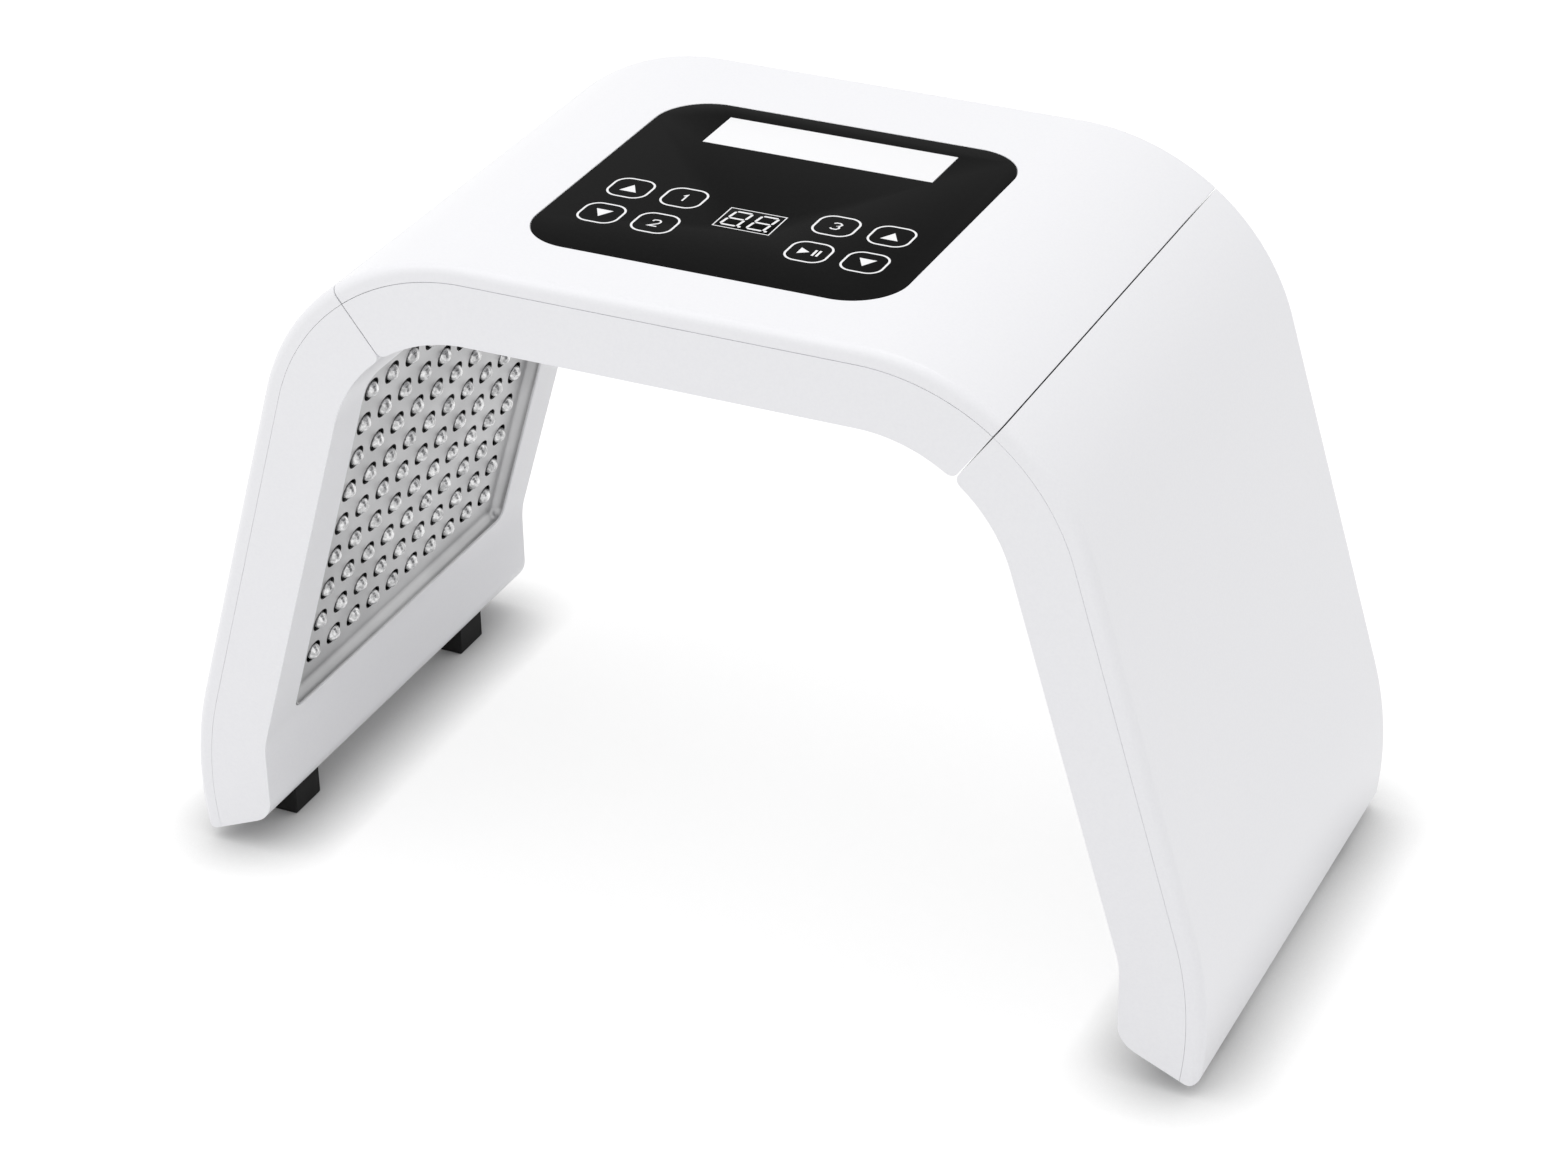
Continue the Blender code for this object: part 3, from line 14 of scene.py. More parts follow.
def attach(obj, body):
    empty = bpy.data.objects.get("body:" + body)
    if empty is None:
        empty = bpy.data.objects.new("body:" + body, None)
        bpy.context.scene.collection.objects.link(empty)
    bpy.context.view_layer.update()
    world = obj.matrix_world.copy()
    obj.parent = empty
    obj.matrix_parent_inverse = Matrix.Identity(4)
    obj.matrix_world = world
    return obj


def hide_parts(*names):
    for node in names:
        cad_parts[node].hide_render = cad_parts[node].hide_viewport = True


# Form of the arch, as in the solids
DEPTH = 0.230
HEIGHT = 0.302
TOP_FLAT_HALF = 0.083
SHOULDER_RADIUS = 0.100
WING_SLANT_DEG = 16.26
BODY_THICKNESS = 0.034
BEND_TOP = 0.075
BEND_RADIUS = 0.160
CREASE_HEIGHT = 0.0545
CREASE_RADIUS = 0.040
BASE_RISE = 0.0185
BASE_SLOPE_DEG = 23.5
BASE_CORNER_RADIUS = 0.012
TIP_RADIUS = 0.0045
WALL = 0.0025
SEAM_WALL = 0.004
SEAM_GAP = 0.0005
SEAM_CORNER_RADIUS = 0.0035
COVER_RIM = 0.0075
PARTING_GAP = 0.00012
OUTER_EDGE_RADIUS = 0.004
INNER_EDGE_RADIUS = 0.003
FIT_GAP = 0.0003
WINDOW_HALF_DEPTH = 0.0925
WING_WINDOW_TOP = -0.013
WING_WINDOW_BOTTOM = 0.166
CENTRE_WINDOW_HALF = 0.076
WINDOW_CORNER = 0.006
HINGE_DEPTH = 0.003
HINGE_LENGTH = 0.150
KNUCKLE_COUNT = 5
KNUCKLE_RADIUS = 0.0025
KNUCKLE_GAP = 0.0004
NOTCH_GAP = 0.0005
LEAF_POCKET = 0.0014
LEAF_WIDTH = 0.016
BAY_RISE = 0.015
BAY_WIDTH = 0.050
BAY_HEIGHT = 0.018
BAY_DEPTH = 0.004
BAY_WALL = 0.002
BAY_CORNER = 0.002

TURN_DEG = 90.0 - WING_SLANT_DEG
SEAM_DEG = TURN_DEG / 2
INNER_FLOOR = HEIGHT - BODY_THICKNESS
HALF_DEPTH = DEPTH / 2
HALF_SEAM = SEAM_GAP / 2
HALF_PARTING = PARTING_GAP / 2
SEAM_FACE = HALF_SEAM + SEAM_WALL
OVERRUN = 0.004

# Finer steps than the solids have
SHOULDER_STEPS = 36
BEND_STEPS = 14
TIP_STEPS = 14
FILLET_STEP_DEG = 9.0
SMALL_STEP_DEG = 15.0
CREASE_STEP_DEG = 2.0
BASE_STEP_DEG = 10.0
CORNER_STEPS = 8
EDGE_SEGMENTS = 7
WINDOW_EDGE_STEPS = 6
TRAY_BEND_STEPS = 7
DOME_STEPS = 8
NOTCH_STEPS = 20
ROUND_SIDES = 32
FINE_SIDES = 28
PIN_SIDES = 24
SHARP_DEG = 40.0

# Tolerances of the mesh helpers
MERGE_DISTANCE = 0.000002
END_SLACK = 0.000004
MATCH_SCALE = 1e5
MATCH_SLACK = 0.4
FLAT_DEG = 0.05
RIM_ANGLE = 1.0
MITRE_LEAST = 0.35


def direction(degrees):
    """Unit vector in the front view, turned from straight up towards +X."""
    return Vector((math.sin(math.radians(degrees)), math.cos(math.radians(degrees))))


SHOULDER_CENTRE = Vector((TOP_FLAT_HALF, HEIGHT - SHOULDER_RADIUS))
WING_NORMAL = direction(TURN_DEG)
WING_DOWN = direction(TURN_DEG + 90.0)
SEAM_OUT = direction(SEAM_DEG)
WING_START = SHOULDER_CENTRE + WING_NORMAL * SHOULDER_RADIUS
WING_INNER_START = WING_START - WING_NORMAL * BODY_THICKNESS
WING_STRAIGHT = (WING_START.y - BEND_TOP) / math.cos(math.radians(WING_SLANT_DEG))
BEND_CENTRE = WING_START + WING_DOWN * WING_STRAIGHT - WING_NORMAL * BEND_RADIUS
CREASE_RUN = (WING_INNER_START.y - CREASE_HEIGHT) / math.cos(math.radians(WING_SLANT_DEG))
CREASE = WING_INNER_START + WING_DOWN * CREASE_RUN
BASE_CORNER = Vector((CREASE.x, BASE_RISE))
BASE_DIRECTION = direction(90.0 + BASE_SLOPE_DEG)
BASE_UP = direction(BASE_SLOPE_DEG)
INNER_SHOULDER_RADIUS = SHOULDER_RADIUS - BODY_THICKNESS
HINGE_POINT = SHOULDER_CENTRE + SEAM_OUT * (INNER_SHOULDER_RADIUS + HINGE_DEPTH)
FRONT_VIEW = Matrix.Rotation(math.radians(90.0), 4, "X")

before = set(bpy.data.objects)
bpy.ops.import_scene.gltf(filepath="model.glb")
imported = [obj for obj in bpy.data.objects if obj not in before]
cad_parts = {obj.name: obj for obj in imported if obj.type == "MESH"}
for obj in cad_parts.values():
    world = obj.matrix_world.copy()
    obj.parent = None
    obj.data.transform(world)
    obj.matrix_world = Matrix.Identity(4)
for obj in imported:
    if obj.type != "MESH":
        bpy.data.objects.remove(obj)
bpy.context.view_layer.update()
scene = bpy.context.scene
scene.view_settings.view_transform = "Standard"
pieces = bpy.data.collections.new("dressed")
scene.collection.children.link(pieces)


# Materials


def rgba(value):
    """A colour or a grey level, opaque."""
    return (*value, 1.0) if isinstance(value, tuple) else (value, value, value, 1.0)


def put(tree, value, socket):
    """Set or link an input."""
    if isinstance(value, bpy.types.NodeSocket):
        tree.links.new(value, socket)
    else:
        socket.default_value = value


def fill_in(tree, node, values):
    for key, value in values.items():
        put(tree, value, node.inputs[key.replace("_", " ")])
    return node


def shader_material(name, colour, roughness, metallic=0.0, **extra):
    """Principled material; extra sets more of the shader's own sockets."""
    made = bpy.data.materials.new(name)
    made.use_nodes = True
    tree = made.node_tree
    fill_in(tree, tree.nodes["Principled BSDF"],
            dict(extra, Base_Color=rgba(colour), Roughness=roughness, Metallic=metallic))
    return made


def add_node(tree, kind, *in_order, **values):
    """A node with its first inputs given in order and others by name."""
    node = tree.nodes.new(kind)
    for value, socket in zip(in_order, node.inputs):
        put(tree, value, socket)
    return fill_in(tree, node, values)


def remapped(tree, value, least, most):
    """A value from 0 to 1 spread over a range."""
    return add_node(tree, "ShaderNodeMapRange", Value=value, To_Min=least, To_Max=most).outputs["Result"]


def surface(name, colour, roughness, scale, height, detail=3.0, metallic=0.0, rough=None,
            tones=None, stretch=(1.0, 1.0, 1.0), **extra):
    """Material with a grain of so many waves a metre and so high: a bump, and if asked a varying
    roughness and colour."""
    made = shader_material(name, colour, roughness, metallic, **extra)
    tree = made.node_tree
    places = tree.nodes.new("ShaderNodeTexCoord").outputs["Object"]
    spread = add_node(tree, "ShaderNodeMapping", Vector=places, Scale=stretch).outputs["Vector"]
    noise = add_node(tree, "ShaderNodeTexNoise", Vector=spread, Scale=scale, Detail=detail).outputs["Fac"]
    bump = add_node(tree, "ShaderNodeBump", Height=noise, Strength=1.0, Distance=height)
    varied = {"Normal": bump.outputs["Normal"]}
    if rough:
        varied["Roughness"] = remapped(tree, noise, *rough)
    if tones:
        ramp = add_node(tree, "ShaderNodeValToRGB", Fac=noise)
        for element, position, tone in zip(ramp.color_ramp.elements, COLOUR_STOPS, tones):
            element.position = position
            element.color = rgba(tone)
        varied["Base Color"] = ramp.outputs["Color"]
    fill_in(tree, tree.nodes["Principled BSDF"], varied)
    return made


COLOUR_STOPS = (0.35, 0.65)
SHELL = surface("shell_white_gloss", (0.86, 0.86, 0.885), 0.3, scale=900.0, height=4e-6,
                rough=(0.27, 0.36), tones=((0.855, 0.855, 0.88), (0.87, 0.87, 0.893)),
                Coat_Weight=0.25, Coat_Roughness=0.12, Specular_IOR_Level=0.3)
PANEL = surface("panel_black_gloss", 0.009, 0.35, scale=700.0, height=3e-6,
                rough=(0.26, 0.36), tones=(0.0085, 0.0095), Specular_IOR_Level=0.005)
PRINT = surface("panel_print_white", 0.9, 0.5, scale=4000.0, height=2e-6,
                tones=((0.86, 0.86, 0.87), (0.93, 0.93, 0.94)))
LABEL = surface("label_satin_white", (0.895, 0.895, 0.905), 0.45, scale=2500.0, height=2e-6,
                tones=((0.885, 0.885, 0.9), (0.905, 0.905, 0.915)))
SCREEN = surface("display_black", 0.002, 0.25, scale=500.0, height=2e-6,
                 rough=(0.2, 0.3), Specular_IOR_Level=0.01)
SEGMENT = surface("display_segment", (0.88, 0.88, 0.89), 0.4, scale=3000.0, height=2e-6,
                  tones=((0.84, 0.84, 0.85), (0.92, 0.92, 0.93)))
TRAY = surface("tray_satin_silver", (0.475, 0.475, 0.48), 0.36, scale=28.0, height=3e-5, detail=1.5,
               metallic=1.0, rough=(0.3, 0.44),
               tones=((0.425, 0.425, 0.43), (0.53, 0.53, 0.535)))
BOARD = surface("led_board_black", (0.008, 0.009, 0.009), 0.5, scale=600.0, height=1e-5,
                tones=((0.007, 0.008, 0.008), (0.01, 0.011, 0.011)), Specular_IOR_Level=0.3)
CIRCUIT = surface("circuit_green", (0.02, 0.16, 0.07), 0.45, scale=260.0, height=1e-5,
                  tones=((0.015, 0.12, 0.05), (0.03, 0.2, 0.09)))
# The domes' colour runs at random from 0.45 to white in blotches about a dome wide: painted glints and
# painted shade that stand in for the light each dome breaks.
LENS_PAINTED_GLINTS = surface("led_clear_epoxy_painted_glints", (0.8, 0.8, 0.805), 0.05, scale=420.0, height=8e-5, metallic=0.7,
               rough=(0.02, 0.08), tones=((0.45, 0.45, 0.455), 1.0),
               Transmission_Weight=0.5, IOR=1.5)
CUP = surface("led_cup_silver", 0.7, 0.25, scale=2000.0, height=2e-6, metallic=1.0,
              rough=(0.2, 0.35))
RUBBER = surface("foot_rubber", 0.007, 0.75, scale=1500.0, height=2e-5,
                 rough=(0.65, 0.85), tones=(0.006, 0.009), Specular_IOR_Level=0.25)
STEEL = surface("zinc_steel", (0.6, 0.6, 0.61), 0.3, scale=400.0, height=4e-6, metallic=1.0,
                rough=(0.22, 0.4), tones=((0.55, 0.55, 0.56), (0.65, 0.65, 0.66)),
                stretch=(1.0, 8.0, 1.0))
FITTING = surface("fitting_black", 0.02, 0.45, scale=1800.0, height=1e-5,
                  rough=(0.4, 0.52), tones=(0.018, 0.025))
FILM = surface("touch_film", (0.70, 0.62, 0.45), 0.4, scale=500.0, height=4e-6,
               tones=((0.66, 0.58, 0.41), (0.74, 0.66, 0.49)))


# Mesh helpers


def dress(mesh, finish, smooth):
    """Give a mesh one material, and smooth shading up to an angle."""
    mesh.materials.clear()
    mesh.materials.append(finish)
    mesh.shade_smooth()
    mesh.set_sharp_from_angle(angle=math.radians(smooth))


def piece(name, mesh, finish, body, slot, *stands_for, smooth=28.0):
    """Link a finished mesh as a piece that rides on a body."""
    obj = bpy.data.objects.new(name, mesh)
    pieces.objects.link(obj)
    dress(mesh, finish, smooth)
    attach(obj, body)
    if stands_for:
        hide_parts(*stands_for)
    return obj


def linked(name, data):
    """A new object in the scene's own collection."""
    obj = bpy.data.objects.new(name, data)
    scene.collection.objects.link(obj)
    return obj


def evaluated_mesh(obj):
    """The mesh that an object's form and modifiers give."""
    bpy.context.view_layer.update()
    return bpy.data.meshes.new_from_object(obj.evaluated_get(bpy.context.evaluated_depsgraph_get()))


def circle(radius, sides, x=0.0, y=0.0):
    turns = [2 * math.pi * i / sides for i in range(sides)]
    return [Vector((x + radius * math.cos(turn), y + radius * math.sin(turn))) for turn in turns]


def moved(x, y, z):
    return Matrix.Translation((x, y, z))


def face_outwards(bm):
    bmesh.ops.recalc_face_normals(bm, faces=bm.faces)


def clean(bm):
    bmesh.ops.remove_doubles(bm, verts=bm.verts, dist=MERGE_DISTANCE)
    face_outwards(bm)


def round_edges(bm, edges, width, segments):
    bmesh.ops.bevel(bm, geom=edges, offset=width, offset_type="OFFSET", segments=segments, profile=0.5,
                    affect="EDGES", clamp_overlap=True)


def into_mesh(bm, mesh, place=None):
    """Write a form into a mesh, moved to its place."""
    if place is not None:
        bm.transform(place)
    bm.to_mesh(mesh)
    bm.free()
    return mesh


def finish_mesh(bm, name, place=None):
    return into_mesh(bm, bpy.data.meshes.new(name), place)


def curve_mesh(name, outlines, thickness, place=None, bevel=0.0):
    """Mesh of flat outlines, the later ones as holes, with its thickness centred on Z."""
    data = bpy.data.curves.new(name, "CURVE")
    data.dimensions = "2D"
    data.fill_mode = "BOTH"
    data.extrude = thickness / 2
    for points in outlines:
        spline = data.splines.new("POLY")
        spline.points.add(len(points) - 1)
        for target, point in zip(spline.points, points):
            target.co = (point[0], point[1], 0.0, 1.0)
        spline.use_cyclic_u = True
    guide = linked(name, data)
    mesh = evaluated_mesh(guide)
    bpy.data.objects.remove(guide, do_unlink=True)
    bm = bmesh.new()
    bm.from_mesh(mesh)
    clean(bm)
    bmesh.ops.dissolve_limit(bm, angle_limit=math.radians(FLAT_DEG), verts=bm.verts, edges=bm.edges)
    face_outwards(bm)
    if bevel:
        rim = [e for e in bm.edges if len(e.link_faces) == 2 and e.calc_face_angle() > RIM_ANGLE
               and all(v.co.z > 0 for v in e.verts)]
        round_edges(bm, rim, bevel, 3)
        face_outwards(bm)
    return into_mesh(bm, mesh, place)


def loft_mesh(name, loops, place=None, closed=False):
    """Closed mesh through loops of equally many points, or a ring of loops."""
    bm = bmesh.new()
    rows = [[bm.verts.new(point) for point in loop] for loop in loops]
    count = len(rows[0])
    pairs = list(zip(rows, rows[1:]))
    if closed:
        pairs.append((rows[-1], rows[0]))
    else:
        bm.faces.new(rows[0])
        bm.faces.new(rows[-1])
    for first, second in pairs:
        for i in range(count):
            j = (i + 1) % count
            bm.faces.new((first[i], first[j], second[j], second[i]))
    clean(bm)
    return finish_mesh(bm, name, place)


def carve(mesh, *tools):
    """Cut tools from a mesh in turn, or use one in the way that it is given with."""
    helpers = [linked("carving", mesh)]
    for tool in tools:
        form, operation = tool if isinstance(tool, tuple) else (tool, "DIFFERENCE")
        helpers.append(linked("carving_tool", form))
        modifier = helpers[0].modifiers.new("carve", "BOOLEAN")
        modifier.operation = operation
        modifier.solver = "EXACT"
        modifier.object = helpers[-1]
    made = evaluated_mesh(helpers[0])
    for helper in helpers:
        bpy.data.objects.remove(helper, do_unlink=True)
    return made


def weigh_normals(obj):
    obj.modifiers.new("normals", "WEIGHTED_NORMAL").keep_sharp = True


def soften(obj, width, segments=2, angle=32.0):
    """Small rounding of the real edges, then weighted normals."""
    bevel = obj.modifiers.new("edge", "BEVEL")
    bevel.width = width
    bevel.segments = segments
    bevel.limit_method = "ANGLE"
    bevel.angle_limit = math.radians(angle)
    bevel.miter_outer = "MITER_SHARP"
    weigh_normals(obj)


def box_mesh(name, low, high, place=None):
    bm = bmesh.new()
    low = Vector(low)
    high = Vector(high)
    spread = Matrix.Translation((low + high) / 2) @ Matrix.Diagonal((*(high - low), 1.0))
    bmesh.ops.create_cube(bm, size=1.0, matrix=spread)
    return finish_mesh(bm, name, place)


def rod_mesh(name, radius, start, end):
    bm = bmesh.new()
    start = Vector(start)
    end = Vector(end)
    turn = (end - start).to_track_quat("Z", "Y").to_matrix().to_4x4()
    bmesh.ops.create_cone(bm, cap_ends=True, segments=ROUND_SIDES, radius1=radius, radius2=radius,
                          depth=(end - start).length, matrix=Matrix.Translation((start + end) / 2) @ turn)
    return finish_mesh(bm, name)


def turned_mesh(name, profile, sides, place=None, spots=((0.0, 0.0),)):
    """One mesh of equal turned forms: a profile of (radius, height) from pole to pole, at each spot."""
    bm = bmesh.new()
    for spot in spots:
        rings = []
        for radius, height in profile:
            points = circle(radius, sides, *spot) if radius else [spot]
            rings.append([bm.verts.new((*point, height)) for point in points])
        for first, second in zip(rings, rings[1:]):
            for i in range(sides):
                j = (i + 1) % sides
                corners = [first[i % len(first)], first[j % len(first)],
                           second[j % len(second)], second[i % len(second)]]
                bm.faces.new(tuple(dict.fromkeys(corners)))
    face_outwards(bm)
    return finish_mesh(bm, name, place)


def join(name, meshes):
    """One mesh of several."""
    bm = bmesh.new()
    for mesh in meshes:
        bm.from_mesh(mesh)
    return finish_mesh(bm, name)


# Outlines in the front view, X across and Y up


def meet(start, along, other, other_along):
    """Where two lines cross."""
    across = along.x * other_along.y - along.y * other_along.x
    gap = other - start
    return start + along * ((gap.x * other_along.y - gap.y * other_along.x) / across)


def arc(centre, radius, first, last, steps):
    """Points on a circle between two directions, in degrees from straight up."""
    return [centre + direction(first + (last - first) * i / steps) * radius for i in range(steps + 1)]


def fillet(before, corner, after, radius, step=FILLET_STEP_DEG):
    """Points that round a corner."""
    back = (before - corner).normalized()
    ahead = (after - corner).normalized()
    half = back.angle(ahead) / 2
    reach = radius / math.tan(half)
    centre = corner + (back + ahead).normalized() * (radius / math.sin(half))
    start = corner + back * reach - centre
    end = corner + ahead * reach - centre
    sweep = math.atan2(start.x * end.y - start.y * end.x, start.dot(end))
    steps = max(3, math.ceil(abs(math.degrees(sweep)) / step))
    return [centre + Matrix.Rotation(sweep * i / steps, 2) @ start for i in range(steps + 1)]


def rounded(corners, radius, step=FILLET_STEP_DEG):
    points = []
    count = len(corners)
    for i in range(count):
        points += fillet(corners[i - 1], corners[i], corners[(i + 1) % count], radius, step)
    return points


def polygon(corners, x=0.0, y=0.0):
    """Points of an outline about a middle."""
    return [Vector((x + across, y + up)) for across, up in corners]


def rectangle(half_width, low, high):
    return polygon(((-half_width, low), (half_width, low), (half_width, high), (-half_width, high)))


def upright(halves):
    """Rectangle about the middle, from the halves of its width and height."""
    return rectangle(halves[0], -halves[1], halves[1])


def mirrored(points, side):
    return [Vector((p.x * side, p.y)) for p in points]


def past_seam(radius, gap):
    return SEAM_DEG + math.degrees(math.asin(gap / radius))


def bend_point(radius, base_inset):
    """Where a circle about the bend's centre meets the base line, moved up by an inset."""
    start = BASE_CORNER + BASE_UP * base_inset - BEND_CENTRE
    back = start.dot(BASE_DIRECTION)
    reach = math.sqrt(radius * radius - start.length_squared + back * back) - back
    return BEND_CENTRE + start + BASE_DIRECTION * reach


def bearing(centre, point):
    away = point - centre
    return math.degrees(math.atan2(away.x, away.y))


def wing_edge(inset, seam_inset, end):
    radius = SHOULDER_RADIUS - inset
    run = arc(SHOULDER_CENTRE, radius, past_seam(radius, seam_inset), TURN_DEG, SHOULDER_STEPS)
    last = bearing(BEND_CENTRE, end)
    return run + arc(BEND_CENTRE, BEND_RADIUS - inset, TURN_DEG, last, BEND_STEPS)


def wing_run(inset, seam_inset, base_inset):
    return wing_edge(inset, seam_inset, bend_point(BEND_RADIUS - inset, base_inset))


def tipped_run(inset, seam_inset, base_inset, tip_radius, edge_inset):
    """The wing's outer line with its tip rounded; a further inset of the line leaves the tip in place."""
    reach = BEND_RADIUS - inset - tip_radius
    centre = bend_point(reach, base_inset + tip_radius)
    edge = BEND_RADIUS - inset - edge_inset
    turn = (edge * edge - reach * reach - tip_radius * tip_radius) / (2 * reach * tip_radius)
    first = bearing(BEND_CENTRE, centre) + math.degrees(math.acos(min(turn, 1.0)))
    tip = arc(centre, tip_radius, first, 180.0 + BASE_SLOPE_DEG, TIP_STEPS)
    return wing_edge(inset + edge_inset, seam_inset, tip[0]) + tip[1:]


def centre_run(inset, seam_inset):
    radius = SHOULDER_RADIUS - inset
    right = arc(SHOULDER_CENTRE, radius, 0.0, past_seam(radius, -seam_inset), SHOULDER_STEPS)
    return mirrored(right[::-1], -1) + right


def centre_frame_outline(outer_inset, inner_inset, seam_inset, corner_radius):
    outer = centre_run(outer_inset, seam_inset)
    inner = centre_run(inner_inset, seam_inset)[::-1]
    first = fillet(outer[-1], inner[0], inner[1], corner_radius, SMALL_STEP_DEG)
    last = fillet(inner[-2], inner[-1], outer[0], corner_radius, SMALL_STEP_DEG)
    return outer, first + trim(inner[1:-1], first[-1], last[0]) + last


def trim(run, start, end):
    """Leave out the points of a run that a corner's rounding has passed."""
    kept = list(run)
    while len(kept) > 2 and (kept[0] - start).dot(kept[1] - kept[0]) < 0:
        kept.pop(0)
    while len(kept) > 2 and (kept[-1] - end).dot(kept[-2] - kept[-1]) < 0:
        kept.pop()
    return kept


def wing_frame_outline(side, outer_inset, inner_inset, seam_inset, base_inset, corner_radius, base_radius):
    outer = wing_run(outer_inset, seam_inset, base_inset)
    radius = SHOULDER_RADIUS - inner_inset
    inner = arc(SHOULDER_CENTRE, radius, past_seam(radius, seam_inset), TURN_DEG, SHOULDER_STEPS)
    shift = BODY_THICKNESS - inner_inset
    down = direction(180.0)
    start = WING_INNER_START + WING_NORMAL * shift
    crease = meet(start, WING_DOWN, CREASE + Vector((shift, 0.0)), down)
    corner = meet(crease, down, BASE_CORNER + BASE_UP * base_inset, BASE_DIRECTION)
    first = fillet(outer[0], inner[0], inner[1], corner_radius, SMALL_STEP_DEG)
    lower = first + trim(inner[1:], first[-1], inner[-1] + WING_DOWN)
    lower += fillet(inner[-1], crease, corner, CREASE_RADIUS, CREASE_STEP_DEG)
    lower += fillet(crease, corner, outer[-1], base_radius, BASE_STEP_DEG)
    return mirrored(outer[::-1], side), mirrored(lower, side)


def bevel_run(mesh, path, radius):
    """Round the edges where the end faces meet a run of outline points."""
    end = HALF_DEPTH - END_SLACK
    bm = bmesh.new()
    bm.from_mesh(mesh)
    spots = {(round(p[0] * MATCH_SCALE), round(p[1] * MATCH_SCALE)) for p in path}

    def on_path(vert):
        x = vert.co.x * MATCH_SCALE
        y = vert.co.y * MATCH_SCALE
        return any((round(x + i * MATCH_SLACK), round(y + j * MATCH_SLACK)) in spots
                   for i in (-1, 0, 1) for j in (-1, 0, 1))

    chosen = []
    for edge in bm.edges:
        first, second = edge.verts
        if first.co.z * second.co.z > 0 and min(abs(first.co.z), abs(second.co.z)) > end:
            if on_path(first) and on_path(second):
                chosen.append(edge)
    round_edges(bm, chosen, radius, EDGE_SEGMENTS)
    clean(bm)
    return into_mesh(bm, mesh)


def quarter(steps):
    """How far cosine and sine fall short of 1 along a quarter turn, for rounded edges."""
    turns = [math.radians(90.0 * i / steps) for i in range(steps + 1)]
    return [(1 - math.cos(turn), 1 - math.sin(turn)) for turn in turns]


def edge_profile(radius):
    """Insets and heights of loops that round the edges of both end faces."""
    front = [(radius * inwards, HALF_DEPTH - radius * down) for inwards, down in quarter(EDGE_SEGMENTS)]
    return [(inset, -height) for inset, height in front[::-1]] + front


# Sections with their LED windows

WING_HALF = (WING_WINDOW_BOTTOM - WING_WINDOW_TOP) / 2
LED_SHIFT = 0.0009
SECTIONS = (
    Section(name="centre", body="centre_section", side=0, half=CENTRE_WINDOW_HALF, rows=8, shift=0.0),
    Section(name="left_wing", body="left_wing", side=-1, half=WING_HALF, rows=9, shift=LED_SHIFT),
    Section(name="right_wing", body="right_wing", side=1, half=WING_HALF, rows=9, shift=LED_SHIFT),
)
PITCH_ALONG = 0.0176
PITCH_ACROSS = 0.0168
COLUMNS = 10
LED_HOLE_RADIUS = 0.0054
LED_RADIUS = 0.0038
LED_TIP = 0.002
DOME_SIDES = 20
CUP_SIDES = 12
BOARD_FACE = 0.009
BOARD_THICKNESS = 0.0016
BOARD_OVERLAP = 0.002
BOARD_HALF_DEPTH = 0.101
BOARD_CORNER = 0.0015
BOARD_BEVEL = 0.0002
TRAY_GAP = 0.0004
TRAY_FACE = 0.005
TRAY_LIP = 0.0005
TRAY_SHEET = 0.0007
TRAY_BEND = 0.0042
CORNER_LEAST = 0.0012
WINDOW_EDGE = 0.0008
SHELL_EDGE = 0.0003
# Radius and depth: the flange under a dome, and the metal cup inside it with its stem
FLANGE_PROFILE = ((LED_RADIUS, 0.0076), (0.0043, 0.0078), (0.0043, 0.0088), (0.0, 0.0088))
CUP_PROFILE = ((0.0, 0.0052), (0.0008, 0.0051), (0.0014, 0.0045), (0.0018, 0.0046), (0.0016, 0.0060),
               (0.0007, 0.0066), (0.0007, 0.0087), (0.0, 0.0087))


def panel_place(section):
    """Frame of a section's LED window: X along it, Y across, Z outwards from the inner face."""
    side = section.side
    if side == 0:
        return moved(0.0, 0.0, INNER_FLOOR)
    middle = WING_INNER_START + WING_DOWN * ((WING_WINDOW_TOP + WING_WINDOW_BOTTOM) / 2)
    turn = Matrix.Rotation(math.radians(TURN_DEG) * side, 4, "Y")
    return moved(middle.x * side, 0.0, middle.y) @ turn


def hinge_place(side):
    turn = Matrix.Rotation(math.radians(SEAM_DEG) * side, 4, "Y")
    return moved(HINGE_POINT.x * side, 0.0, HINGE_POINT.y) @ turn


def led_places(section):
    places = []
    facing = section.side or 1
    for row in range(section.rows):
        along = (row - (section.rows - 1) / 2) * PITCH_ALONG - section.shift
        for column in range(COLUMNS):
            places.append((along * facing, (column - (COLUMNS - 1) / 2) * PITCH_ACROSS))
    return places


def window_ring(section, grow, depth):
    """The LED window's outline made larger all round, at a depth, always with as many points."""
    radius = max(WINDOW_CORNER + grow, CORNER_LEAST)
    x = section.half + grow - radius
    y = WINDOW_HALF_DEPTH + grow - radius
    points = []
    for across, up, start in ((1, 1, 0), (-1, 1, 90), (-1, -1, 180), (1, -1, 270)):
        for i in range(CORNER_STEPS + 1):
            angle = math.radians(start + 90.0 * i / CORNER_STEPS)
            points.append((across * x + radius * math.cos(angle), up * y + radius * math.sin(angle), depth))
    return points


def window_tool(section):
    """Cutter for the LED window, with a flared mouth that rounds the window's edge."""
    loops = [window_ring(section, 0.0, 2 * WALL)]
    loops += [window_ring(section, WINDOW_EDGE * out, WINDOW_EDGE * depth)
              for out, depth in quarter(WINDOW_EDGE_STEPS)]
    loops.append(window_ring(section, WINDOW_EDGE, -OVERRUN))
    return loft_mesh("window_tool", loops, panel_place(section))


